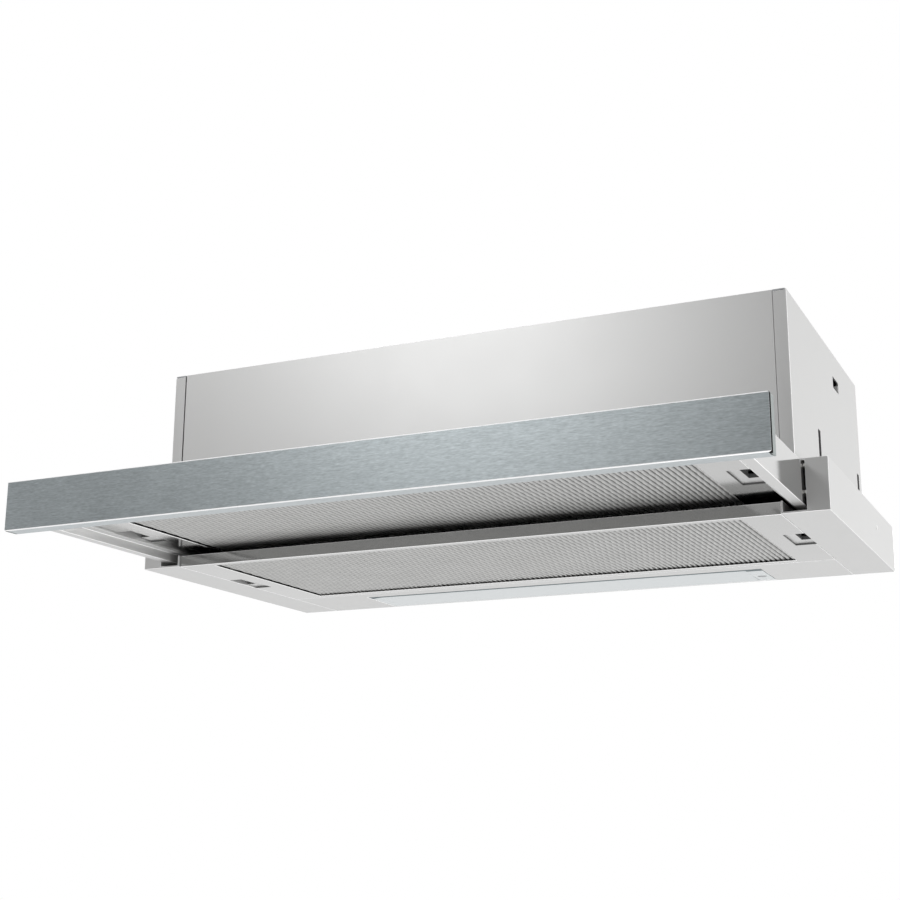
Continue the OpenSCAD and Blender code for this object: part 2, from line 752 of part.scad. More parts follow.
// Quarter-turn catch: a slotted head below the lens and a wing above its boss
module lens_catch() {
  wing_z = catch_boss_h + fit;
  color("#f2f2f0") fixed() translate([catch_x, catch_y, lens_z]) {
    difference() {
      cylinder(r = catch_head_d / 2, h = catch_head_t);
      span([-catch_head_d / 2 + fit, -fit, -over], [catch_head_d / 2 - fit, fit, catch_head_t / 2]);
    }
    cylinder(r = catch_d / 2, h = wing_z + catch_wing_t);
    span([-catch_d / 2, -catch_wing_w / 2, wing_z],
         [catch_wing_reach, catch_wing_w / 2, wing_z + catch_wing_t]);
  }
}

// Board with a row of light emitting diodes, under the roof of the lamp housing
module led_board() {
  y = lens_y0 + lens_d / 2;
  pitch = led_board_w / led_count;
  color("#f4f4ee") fixed() {
    span([-led_board_w / 2, y - led_board_d / 2, lamp_h - board_t],
         [led_board_w / 2, y + led_board_d / 2, lamp_h]);
    for (i = [0 : led_count - 1]) {
      translate([(i - (led_count - 1) / 2) * pitch - led_s / 2, y - led_s / 2, lamp_h - 2 * board_t]) {
        cube([led_s, led_s, board_t]);
      }
    }
  }
}

// Outline of the spiral housing and its outlet, drawn in by inset from the outer face
module scroll_outline(inset) {
  outlet_l = blower_x - plenum_w / 2;
  spiral = [for (i = [0 : scroll_steps])
    let (a = scroll_start + scroll_sweep * i / scroll_steps,
         r = scroll_r0 + (scroll_r1 - scroll_r0) * i / scroll_steps - inset)
    [r * cos(a), r * sin(a)]];
  polygon(spiral);
  translate([-outlet_l - (inset > 0 ? over : 0), outlet_y0 + inset]) {
    square([outlet_l + (inset > 0 ? over : 0), outlet_w - 2 * inset]);
  }
}

module at_blower(side) fixed() on_side(side) translate([blower_x, blower_y, 0]) children();

// Places of the screws that hold the blowers under the top panel
module blower_screw_places() {
  for (s = [-1, 1]) on_side(s) translate([blower_x, blower_y, roof_z]) {
    for (a = blower_screw_angles) rotate([0, 0, a]) translate([blower_screw_r, 0, 0]) children();
  }
}

// Spiral housing, closed above and open below
module scroll(side) {
  color("#33353a") at_blower(side) difference() {
    translate([0, 0, scroll_low_z]) linear_extrude(height = scroll_h) scroll_outline(0);
    translate([0, 0, scroll_low_z - over]) {
      linear_extrude(height = scroll_h - shell_t + over) scroll_outline(shell_t);
    }
    for (a = blower_screw_angles) rotate([0, 0, a]) {
      translate([blower_screw_r, 0, scroll_top_z - screw_l]) cylinder(r = screw_r, h = 2 * screw_l);
    }
  }
}

// Inlet ring: closes the spiral housing from below and carries the motor on three arms
module inlet_ring(side) {
  color("#3a3c41") at_blower(side) {
    translate([0, 0, scroll_low_z - shell_t]) linear_extrude(height = shell_t) difference() {
      scroll_outline(0);
      circle(r = inlet_r);
    }
    translate([0, 0, scroll_low_z]) linear_extrude(height = inlet_rim_h) difference() {
      circle(r = inlet_r + shell_t);
      circle(r = inlet_r);
    }
    translate([0, 0, scroll_low_z - shell_t]) {
      cylinder(r = spider_hub_r, h = spider_h);
      for (a = spider_angles) rotate([0, 0, a]) {
        span([0, -spider_w / 2, 0], [inlet_r + shell_t / 2, spider_w / 2, spider_h]);
      }
    }
  }
}

// Motor, standing on the arms of the inlet ring
motor_z = scroll_low_z - shell_t + spider_h;
module motor(side) {
  color("#8f9296") at_blower(side) translate([0, 0, motor_z]) difference() {
    union() {
      cylinder(r = motor_r, h = motor_h);
      cylinder(r = motor_boss_r, h = motor_h + motor_boss_h);
    }
    translate([0, 0, shaft_end - fit]) {
      cylinder(r = shaft_d / 2 + shaft_fit, h = motor_h + motor_boss_h);
    }
  }
}

// Motor shaft, from inside the motor to the top of the impeller's hub
module shaft(side) {
  color("#c0c2c4") at_blower(side) translate([0, 0, motor_z + shaft_end]) {
    cylinder(d = shaft_d, h = impeller_top_z - motor_z - shaft_end);
  }
}

// Impeller: a disc with a hub, leaning blades and a ring at their lower ends
module impeller(side) {
  color("#2b2d31") at_blower(side) translate([0, 0, impeller_low_z]) difference() {
    union() {
      translate([0, 0, impeller_h - disc_t]) cylinder(r = impeller_r, h = disc_t);
      translate([0, 0, impeller_h - hub_h]) cylinder(r = hub_r, h = hub_h);
      linear_extrude(height = disc_t) difference() {
        circle(r = impeller_r);
        circle(r = impeller_r - blade_l * cos(blade_lean));
      }
      linear_extrude(height = impeller_h) intersection() {
        circle(r = impeller_r);
        for (i = [0 : blade_count - 1]) rotate([0, 0, 360 * i / blade_count]) {
          translate([impeller_r, 0]) rotate([0, 0, blade_lean]) {
            translate([-blade_l, -blade_t / 2]) square([blade_l + over, blade_t]);
          }
        }
      }
    }
    translate([0, 0, -over]) cylinder(d = shaft_d, h = impeller_h + 2 * over);
  }
}

// Plenum between the blowers: open at both sides for their outlets and above for the collar
module plenum() {
  x = plenum_w / 2;
  y1 = plenum_y0 + plenum_d;
  mouth_y = blower_y + outlet_y0 + shell_t;
  color("#3a3c41") fixed() difference() {
    span([-x, plenum_y0, scroll_low_z], [x, y1, scroll_top_z]);
    span([-x + shell_t, plenum_y0 + shell_t, scroll_low_z + shell_t],
         [x - shell_t, y1 - shell_t, scroll_top_z - shell_t]);
    span([-x - over, mouth_y, scroll_low_z + shell_t],
         [x + over, mouth_y + outlet_w - 2 * shell_t, scroll_top_z - shell_t]);
    translate([0, collar_y, scroll_top_z - shell_t - over]) {
      cylinder(r = collar_in_r, h = shell_t + 2 * over);
    }
  }
}

// Duct collar on the top panel, with a seat for the flaps and holes for their pins
module outlet_collar() {
  color("#2f3136") fixed() translate([0, collar_y, 0]) difference() {
    union() {
      translate([0, 0, hood_h]) cylinder(r = collar_flange_r, h = collar_t);
      translate([0, 0, roof_z]) cylinder(r = collar_r, h = sheet + collar_h);
    }
    translate([0, 0, roof_z - over]) cylinder(r = collar_in_r - seat_w, h = collar_h + 2 * sheet + 2 * over);
    translate([0, 0, roof_z - over]) cylinder(r = collar_in_r, h = seat_z - roof_z + over);
    translate([0, 0, seat_z + sheet]) cylinder(r = collar_in_r, h = collar_h);
    for (y = [-flap_hinge_y, flap_hinge_y]) translate([0, y, flap_axis_z]) {
      drum_x(flap_pin_r + hinge_fit, -collar_r - over, collar_r + over);
    }
    for (a = collar_screw_angles) rotate([0, 0, a]) translate([collar_screw_r, 0, hood_h - over]) {
      cylinder(r = screw_r, h = collar_t + 2 * over);
    }
  }
}

// Half round flap on a barrel with a pin at each end; it swings up into the duct
module flap(dir) {
  color("#d6d6d4") fixed() translate([0, collar_y, 0]) mirror([0, dir < 0 ? 1 : 0, 0]) {
    difference() {
      translate([0, 0, flap_z]) cylinder(r = flap_r, h = flap_t);
      span([-collar_r, -collar_r, flap_z - over], [collar_r, flap_hinge_y, flap_z + flap_t + over]);
    }
    translate([0, flap_hinge_y, flap_axis_z]) {
      drum_x(barrel_r, -barrel_half_l, barrel_half_l);
      drum_x(flap_pin_r, -collar_in_r - collar_t / 2, collar_in_r + collar_t / 2);
    }
  }
}

// Electronics housing under the top panel, open below, and the lid that closes it
module control_box() {
  x = control_w / 2;
  color("#44464b") fixed() difference() {
    span([-x, control_y, control_low_z], [x, control_y + control_d, roof_z]);
    span([-x + shell_t, control_y + shell_t, control_low_z - over],
         [x - shell_t, control_y + control_d - shell_t, roof_z - shell_t]);
  }
}
module control_box_lid() {
  x = control_w / 2;
  color("#4c4e54") fixed() {
    span([-x, control_y, control_low_z - shell_t], [x, control_y + control_d, control_low_z]);
    difference() {
      span([-x + shell_t + fit, control_y + shell_t + fit, control_low_z],
           [x - shell_t - fit, control_y + control_d - shell_t - fit, control_low_z + board_rise]);
      span([-x + 2 * shell_t + fit, control_y + 2 * shell_t + fit, control_low_z - fit],
           [x - 2 * shell_t - fit, control_y + control_d - 2 * shell_t - fit, roof_z]);
    }
  }
}
module circuit_board() {
  x = control_w / 2 - board_margin;
  color("#3d6b45") fixed() {
    span([-x, control_y + board_margin, control_low_z + board_rise],
         [x, control_y + control_d - board_margin, control_low_z + board_rise + board_t]);
  }
}
module capacitors() {
  color("#d8d8d6") fixed() for (x = [-capacitor_x, capacitor_x]) {
    translate([x, control_y + (control_d - capacitor_l) / 2,
               control_low_z + board_rise + board_t + capacitor_r]) {
      drum_y(capacitor_r, 0, capacitor_l);
    }
  }
}

// Gland for the mains lead
module cable_gland() {
  color("#222326") fixed() translate([gland_x, gland_y, 0]) difference() {
    union() {
      translate([0, 0, roof_z - gland_nut_h]) cylinder(r = gland_r, h = sheet + gland_nut_h + gland_h);
      translate([0, 0, hood_h]) cylinder(r = gland_nut_r, h = gland_nut_h, $fn = 6);
      translate([0, 0, roof_z - gland_nut_h]) cylinder(r = gland_nut_r, h = gland_nut_h, $fn = 6);
    }
    translate([0, 0, roof_z - gland_nut_h - over]) {
      cylinder(r = gland_bore_r, h = 2 * gland_nut_h + gland_h + sheet + 2 * over);
    }
  }
}

// Switch on the rear wall that the drawer's rear bar presses, and its plunger
switch_mid = [switch_x + switch_w / 2, 0, switch_z + switch_h / 2];
module drawer_switch() {
  color("#202124") fixed() difference() {
    span([switch_x, rear_y - switch_d, switch_z], [switch_x + switch_w, rear_y, switch_z + switch_h]);
    translate(switch_mid) {
      drum_y(plunger_r + shaft_fit, rear_y - switch_d - over, rear_y - switch_d + plunger_well);
    }
  }
}
module switch_plunger() {
  color("#b33a2a") fixed() translate(switch_mid) {
    drum_y(plunger_r, rear_y - switch_d - plunger_out, rear_y - switch_d + plunger_in);
  }
}

// Pan head screw that points down, its head standing on z = 0
module screw(length) {
  cylinder(r = screw_head_r, h = screw_head_h);
  translate([0, 0, -length]) cylinder(r = screw_r, h = length + screw_head_h / 2);
}
module panel_screws() {
  color("#b9bbbd") fixed() for (s = [-1, 1], y = edge_screw_y) on_side(s) {
    translate([edge_screw_x, y, hood_h]) screw(screw_l);
  }
}
module blower_screws() {
  color("#b9bbbd") fixed() blower_screw_places() translate([0, 0, sheet]) screw(screw_l);
}
module collar_screws() {
  color("#b9bbbd") fixed() translate([0, collar_y, hood_h + collar_t]) {
    for (a = collar_screw_angles) rotate([0, 0, a]) translate([collar_screw_r, 0, 0]) {
      screw(collar_t + sheet);
    }
  }
}

// Fascia: brushed stainless skin folded back above and below, whose front covers the end caps
module fascia() {
  x = half_w - cap_t;
  color("#9aa4a6") drawn() {
    span([-half_w, fascia_front_y, fascia_z], [half_w, fascia_front_y + skin, fascia_top_z]);
    span([-x, fascia_front_y, fascia_z], [x, fascia_back_y, fascia_z + skin]);
    span([-x, fascia_front_y, fascia_top_z - skin], [x, fascia_back_y, fascia_top_z]);
  }
}
module fascia_caps() {
  color("#c3cccb") drawn() for (s = [-1, 1]) on_side(s) {
    span([half_w - cap_t, fascia_front_y + skin, fascia_z], [half_w, fascia_back_y, fascia_top_z]);
    span([half_w - fold_d, fascia_front_y + skin, fascia_z + skin],
         [half_w - cap_t, fascia_back_y - bar_t, fascia_z + skin + cap_t]);
  }
}

// Bar behind the fascia: a plate, and a shelf above the filter that carries the switches
module front_bar() {
  x = half_w - cap_t;
  y0 = fascia_back_y - bar_t;
  shelf_x = lip_x - sheet;
  color("#8b8d90") drawn() difference() {
    union() {
      span([-x, y0, fascia_z + skin], [x, fascia_back_y, fascia_top_z - skin]);
      difference() {
        span([-shelf_x, y0, shelf_z], [shelf_x, shelf_d, cover_z]);
        span([-shelf_x + sheet, fascia_back_y, shelf_z - over],
             [shelf_x - sheet, shelf_d - sheet, cover_z - sheet]);
      }
    }
    slider_slot(light_x, light_travel);
    slider_slot(speed_x, speed_travel);
    for (s = [-1, 1]) translate([s * hook_x, 0, drawer_filter_z + filter_t / 2]) {
      span([-hook_w / 2 - fit, y0 - over, -fit], [hook_w / 2 + fit, fascia_back_y + over, frame_t + fit]);
    }
  }
}
module slider_slot(x, run) {
  span([x - stem_w / 2 - fit, knob_y - stem_w / 2 - fit, cover_z - sheet - over],
       [x + run + stem_w / 2 + fit, knob_y + stem_w / 2 + fit, cover_z + over]);
}

// Slider switch: a knob over the shelf, a stem through its slot and a foot below
module slider(x) {
  drawn() translate([x, knob_y, cover_z]) {
    span([-knob_w / 2, -knob_d / 2, fit], [knob_w / 2, knob_d / 2, knob_h]);
    span([-stem_w / 2, -stem_w / 2, -sheet - fit - foot_h], [stem_w / 2, stem_w / 2, knob_h]);
    span([-foot_w / 2, -foot_d / 2, -sheet - fit - foot_h], [foot_w / 2, foot_d / 2, -sheet - fit]);
  }
}
module light_slider() color("#e9e9e7") slider(light_x);
module speed_slider() color("#e9e9e7") slider(speed_x);

// Rail: outer wall, foot, riser, ledge beside the filter and the lip that it latches into
module rail(side) {
  x1 = rail_x;
  x0 = rail_foot_x;
  color("#cdcecc") drawn() on_side(side) difference() {
    union() {
      span([x1 - sheet, fascia_back_y, rail_z], [x1, rail_l, rail_top_z]);
      span([x0, fascia_back_y, rail_z], [x1, rail_l, rail_z + sheet]);
      span([x0, fascia_back_y, rail_z], [x0 + sheet, rail_l, ledge_z + sheet]);
      span([rail_lip_x, fascia_back_y, ledge_z], [x0 + sheet, rail_l, ledge_z + sheet]);
      span([rail_lip_x, fascia_back_y, ledge_z], [rail_lip_x + sheet, rail_l, ledge_z + rail_lip_h]);
      span([x1 - rail_top_w, fascia_back_y, rail_top_z - sheet], [x1, rail_l, rail_top_z]);
    }
    translate([0, drawer_filter_y, drawer_filter_z]) nose_window(rail_lip_x);
  }
}

// Bar that ties the rails together at the rear
module rear_crossbar() {
  color("#b8b9b8") drawn() difference() {
    span([-rail_x + sheet, rail_l - crossbar_d, shelf_z], [rail_x - sheet, rail_l, cover_z + sheet]);
    span([-rail_x, rail_l - crossbar_d + sheet, shelf_z - over],
         [rail_x, rail_l - sheet, cover_z]);
  }
}

// Cover over the pulled-out part of the air path, under the rails' upper flanges
module drawer_top() {
  x = rail_x - sheet - fit;
  color("#bfc0bf") drawn() span([-x, shelf_d + fit, cover_z], [x, cover_end, cover_z + sheet]);
}

// Shoes under the rear ends of the rails, which run on the channel floors
module glide_shoes() {
  color("#e8e8e6") drawn() for (s = [-1, 1]) on_side(s) {
    span([rail_foot_x, rail_l - shoe_l, guide_t + fit], [rail_x, rail_l, rail_z]);
  }
}

guide(-1);  // guide_left
guide(1);  // guide_right
rear_panel();
side_panel(-1);  // side_panel_left
side_panel(1);  // side_panel_right
front_panel();
back_panel();
top_panel();
glide_strips();
body_filter_frame();
body_filter_mesh();
lamp_housing();
lamp_lens();
led_board();
scroll(-1);  // scroll_left
scroll(1);  // scroll_right
inlet_ring(-1);  // inlet_ring_left
inlet_ring(1);  // inlet_ring_right
motor(-1);  // motor_left
motor(1);  // motor_right
plenum();
outlet_collar();
control_box();
control_box_lid();
circuit_board();
capacitors();
cable_gland();
drawer_switch();
panel_screws();
blower_screws();
collar_screws();
body_spring(-1);  // body_spring_left
body_spring(1);  // body_spring_right
impeller(-1);  // impeller_left
impeller(1);  // impeller_right
shaft(-1);  // shaft_left
shaft(1);  // shaft_right
flap(-1);  // flap_front
flap(1);  // flap_rear
lens_catch();
switch_plunger();
body_latch(-1);  // body_latch_left
body_latch(1);  // body_latch_right
fascia();
fascia_caps();
front_bar();
rail(-1);  // rail_left
rail(1);  // rail_right
rear_crossbar();
drawer_top();
glide_shoes();
drawer_filter_frame();
drawer_filter_mesh();
drawer_latch(-1);  // drawer_latch_left
drawer_latch(1);  // drawer_latch_right
drawer_spring(-1);  // drawer_spring_left
drawer_spring(1);  // drawer_spring_right
light_slider();
speed_slider();
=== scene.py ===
"""Looks of a pull out range hood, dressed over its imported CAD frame.

The frame gives every size and place. This script adds folded sheet edges, the expanded
aluminium of the grease filters, the lamp's lens, finishes, soft studio light and a camera.
"""

import json
import logging
import math
from collections.abc import Callable, Iterator
from contextlib import contextmanager
from dataclasses import dataclass, field, replace

import bmesh
import bpy
import numpy as np
from bpy.types import Material, Mesh, Node, NodeSocket, NodeTree, Object
from mathutils import Matrix, Vector


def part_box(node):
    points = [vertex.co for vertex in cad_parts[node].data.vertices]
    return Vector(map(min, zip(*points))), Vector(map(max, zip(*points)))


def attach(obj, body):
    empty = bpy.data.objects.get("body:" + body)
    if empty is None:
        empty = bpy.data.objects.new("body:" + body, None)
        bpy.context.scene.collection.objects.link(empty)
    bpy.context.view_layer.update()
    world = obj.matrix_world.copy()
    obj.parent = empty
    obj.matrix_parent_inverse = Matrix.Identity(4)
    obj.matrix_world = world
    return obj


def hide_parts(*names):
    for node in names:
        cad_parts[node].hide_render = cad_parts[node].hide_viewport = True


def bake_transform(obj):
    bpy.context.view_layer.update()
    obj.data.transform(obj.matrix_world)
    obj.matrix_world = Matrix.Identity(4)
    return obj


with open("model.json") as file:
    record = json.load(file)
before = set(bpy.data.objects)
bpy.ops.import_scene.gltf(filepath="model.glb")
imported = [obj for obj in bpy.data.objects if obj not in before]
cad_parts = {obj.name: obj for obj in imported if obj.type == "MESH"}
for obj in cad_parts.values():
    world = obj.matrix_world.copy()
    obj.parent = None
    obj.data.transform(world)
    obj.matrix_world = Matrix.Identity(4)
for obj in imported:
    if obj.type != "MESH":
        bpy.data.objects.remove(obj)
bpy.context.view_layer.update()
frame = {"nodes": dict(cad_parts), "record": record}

log = logging.getLogger("hood")

MM = 0.001
MERGE = 0.001 * MM  # distance under which doubled points become one
SLACK = 0.05 * MM  # how far a point may lie off the plane where it is looked for
FLAT_ANGLE = math.radians(0.5)  # under which two faces are parts of one flat face
FOLD_ANGLE = math.radians(30)  # past which an edge of the CAD's sheet is rounded
CREASE_ANGLE = math.radians(35)  # past which the faces of a new strip meet at a sharp line
FACING = 0.5  # share of an axis in a normal, past which the face looks that way
UPRIGHT = 0.3  # share of Z in a normal, under which the face stands upright
ROUND_STRIPS = 2  # strips of faces across a rounded edge
FLAT_WEIGHT = 100  # weight of large faces over small ones in the shading, at its most
BUMP_STRENGTH = 0.35
HIGHLIGHT_CALM = 3.0  # how many times fainter a pattern is under a fold's painted highlight

Triple = tuple[float, float, float]
Value = NodeSocket | float | tuple[float, ...]


class Tree:
    """Short hand for laying out a node tree."""

    def __init__(self, tree: NodeTree) -> None:
        """Keeps the tree that the nodes go into."""
        self.tree = tree

    def feed(self, source: Value, target: NodeSocket) -> None:
        """Joins an output to an input, or sets the input to a plain value."""
        if isinstance(source, NodeSocket):
            self.tree.links.new(source, target)
        else:
            target.default_value = source

    def add(self, kind: str, inputs: dict[str | int, Value] | None = None, **settings: object) -> Node:
        """Adds a node.

        Args:
            kind: node type, as Blender names it.
            inputs: what feeds its inputs, by their names or numbers.
            settings: properties to set on the node itself.

        Returns:
            The new node.
        """
        node = self.tree.nodes.new(kind)
        for key, value in settings.items():
            setattr(node, key, value)
        for key, value in (inputs or {}).items():
            self.feed(value, node.inputs[key])
        return node

    def calculated(self, operation: str, *inputs: Value) -> NodeSocket:
        """Result of a math node over its inputs, in order."""
        return self.add("ShaderNodeMath", dict(enumerate(inputs)), operation=operation).outputs[0]

    def stretched(self, vector: NodeSocket, factors: Triple) -> NodeSocket:
        """Scales a vector axis by axis."""
        return self.add("ShaderNodeVectorMath", {0: vector, 1: factors}, operation="MULTIPLY").outputs[0]

    def noise(self, vector: NodeSocket, scale: Value, detail: float = 2.0) -> NodeSocket:
        """Noise over a vector, as a value from 0 to 1."""
        inputs = {"Vector": vector, "Scale": scale, "Detail": detail}
        return self.add("ShaderNodeTexNoise", inputs).outputs["Fac"]

    def around_one(self, noise: NodeSocket, contrast: Value) -> NodeSocket:
        """Factor that a noise value gives: (noise - 0.5) x contrast + 1."""
        return self.calculated("MULTIPLY_ADD", self.calculated("SUBTRACT", noise, 0.5), contrast, 1.0)

    def shade(self, factor: NodeSocket, colour: Triple) -> NodeSocket:
        """Multiplies a linear colour by a factor that changes over the surface."""
        return self.add("ShaderNodeVectorMath", {0: colour, "Scale": factor}, operation="SCALE").outputs[0]

    def seen_directly(self) -> NodeSocket:
        """Mask, 1 for what the camera sees, itself or through mirrors and clear pieces."""
        rays = self.add("ShaderNodeLightPath").outputs
        mirrored = self.calculated("MAXIMUM", rays["Is Glossy Ray"], rays["Is Transmission Ray"])
        return self.calculated("MAXIMUM", rays["Is Camera Ray"], mirrored)


def new_group(name: str, inputs: tuple[str, ...], outputs: tuple[str, ...]) -> tuple[Tree, Node, Node]:
    """Starts a shader node group with one vector input.

    Args:
        name: the group's name.
        inputs: names of the value inputs.
        outputs: names of the value outputs.

    Returns:
        The group's tree, its input node and its output node.
    """
    tree = bpy.data.node_groups.new(name, "ShaderNodeTree")
    tree.interface.new_socket("Vector", in_out="INPUT", socket_type="NodeSocketVector")
    for side, keys in (("INPUT", inputs), ("OUTPUT", outputs)):
        for key in keys:
            tree.interface.new_socket(key, in_out=side, socket_type="NodeSocketFloat")
    short = Tree(tree)
    return short, short.add("NodeGroupInput"), short.add("NodeGroupOutput")


def new_material(name: str) -> tuple[Material, Tree]:
    """Starts a material, and gives it back with its empty node tree."""
    made = bpy.data.materials.new(name)
    made.use_nodes = True
    made.node_tree.nodes.clear()
    return made, Tree(made.node_tree)


@dataclass
class Effects:
    """Node groups that more than one finish uses, each built once.

    Fields:
        fine_stretch: noise cells per metre of the fine brush lines, along X, Y and Z.
        broad_stretch: the same for the broader lines under them.
        broad_share: share of the broader lines in the shade.
        cloud_scale: clouds of handling per metre.
        cloud_range: noise values that give the lowest and the highest roughness.
    """

    fine_stretch: Triple = (260.0, 1500.0, 1600.0)
    broad_stretch: Triple = (130.0, 950.0, 1000.0)
    broad_share: float = 0.45
    cloud_scale: float = 22.0
    cloud_range: tuple[float, float] = (0.3, 0.7)

    def __post_init__(self) -> None:
        """Builds the groups."""
        self.streaks = self._streaks()
        self.grain = self._grain()
        self.handling = self._handling()

    def _streaks(self) -> NodeTree:
        """Brush lines along X: noise stretched far along X, fine lines over broader ones.

        Returns:
            Group with Vector and Contrast in, and Shade, around 1, and Height out.
        """
        t, start, end = new_group("brush streaks", ("Contrast",), ("Shade", "Height"))
        fine = t.noise(t.stretched(start.outputs["Vector"], self.fine_stretch), 1.0)
        broad = t.noise(t.stretched(start.outputs["Vector"], self.broad_stretch), 1.0, 3.0)
        mixed = t.add("ShaderNodeMix", {0: self.broad_share, 2: fine, 3: broad}, data_type="FLOAT")
        t.feed(t.around_one(mixed.outputs[0], start.outputs["Contrast"]), end.inputs["Shade"])
        t.feed(fine, end.inputs["Height"])
        return t.tree

    def _grain(self) -> NodeTree:
        """Fine grain of paint or moulded plastic: noise at the scale of the grain.

        Returns:
            Group with Vector, Scale and Contrast in, and Shade, around 1, and Height out.
        """
        t, start, end = new_group("fine grain", ("Scale", "Contrast"), ("Shade", "Height"))
        grain = t.noise(start.outputs["Vector"], start.outputs["Scale"])
        t.feed(t.around_one(grain, start.outputs["Contrast"]), end.inputs["Shade"])
        t.feed(grain, end.inputs["Height"])
        return t.tree

    def _handling(self) -> NodeTree:
        """Faint traces of handling: broad soft clouds that change the gloss a little.

        Returns:
            Group with Vector, Low and High in, and Roughness out.
        """
        t, start, end = new_group("handling", ("Low", "High"), ("Roughness",))
        spread = t.add("ShaderNodeMapRange", {
            "Value": t.noise(start.outputs["Vector"], self.cloud_scale),
            "From Min": self.cloud_range[0],
            "From Max": self.cloud_range[1],
            "To Min": start.outputs["Low"],
            "To Max": start.outputs["High"],
        }, interpolation_type="SMOOTHSTEP")
        t.feed(spread.outputs["Result"], end.inputs["Roughness"])
        return t.tree


@dataclass(frozen=True)
class Finish:
    """A finish: one Principled surface with a pattern, gloss traces and a fine bump.

    Fields:
        name: name of the finish.
        colour: linear base colour.
        metallic: metallic share.
        roughness: lowest and highest roughness.
        brushed: whether its pattern is brush lines along X, and not fine grain.
        contrast: strength of the pattern in the colour.
        grain: scale of the grain, per metre.
        bump: height of the bump, in metres.
        coat: clear coat weight.
        specular: strength of a non-metal's gloss.
        hollow: strength of the shade painted into a mesh's hollows, by its attribute of that name.
        fold: grey level of the highlight painted along its folds.
    """

    name: str
    colour: Triple
    metallic: float = 0.0
    roughness: tuple[float, float] = (0.35, 0.42)
    brushed: bool = False
    contrast: float = 0.06
    grain: float = 2500.0
    bump: float = 0.01 * MM
    coat: float = 0.0
    specular: float = 0.5
    hollow: float = 0.0
    fold: float = 0.0

    def fold_highlight(self) -> "Finish":
        """The same finish along a fold, with a pale highlight painted on."""
        calm = self.contrast / HIGHLIGHT_CALM
        return replace(self, name=self.name + " fold", colour=(self.fold,) * 3, contrast=calm)

    def material(self, effects: Effects) -> Material:
        """Builds the material with the shared node groups."""
        made, t = new_material(self.name)
        where = t.add("ShaderNodeTexCoord").outputs["Object"]
        texture = t.add("ShaderNodeGroup", {"Vector": where, "Contrast": self.contrast},
                        node_tree=effects.streaks if self.brushed else effects.grain)
        if not self.brushed:
            t.feed(self.grain, texture.inputs["Scale"])
        shade = texture.outputs["Shade"]
        # painted shade in the mesh's hollows
        if self.hollow:
            shade = self._painted_hollow_shade(t, shade)
        low, high = self.roughness
        traces = t.add("ShaderNodeGroup", {"Vector": where, "Low": low, "High": high},
                       node_tree=effects.handling)
        relief = t.add("ShaderNodeBump", {
            "Strength": BUMP_STRENGTH,
            "Distance": self.bump,
            "Height": texture.outputs["Height"],
        })
        surface = t.add("ShaderNodeBsdfPrincipled", {
            "Base Color": t.shade(shade, self.colour),
            "Metallic": self.metallic,
            "Roughness": traces.outputs["Roughness"],
            "Specular IOR Level": self.specular,
            "Coat Weight": self.coat,
            "Normal": relief.outputs["Normal"],
        })
        t.add("ShaderNodeOutputMaterial", {"Surface": surface.outputs["BSDF"]})
        return made

    def _painted_hollow_shade(self, t: Tree, shade: NodeSocket) -> NodeSocket:
        """Paints shade into the mesh's hollows: factor x (1 - hollow x attribute)."""
        depth = t.add("ShaderNodeAttribute", attribute_name="hollow").outputs["Fac"]
        return t.calculated("MULTIPLY", shade, t.calculated("MULTIPLY_ADD", depth, -self.hollow, 1.0))


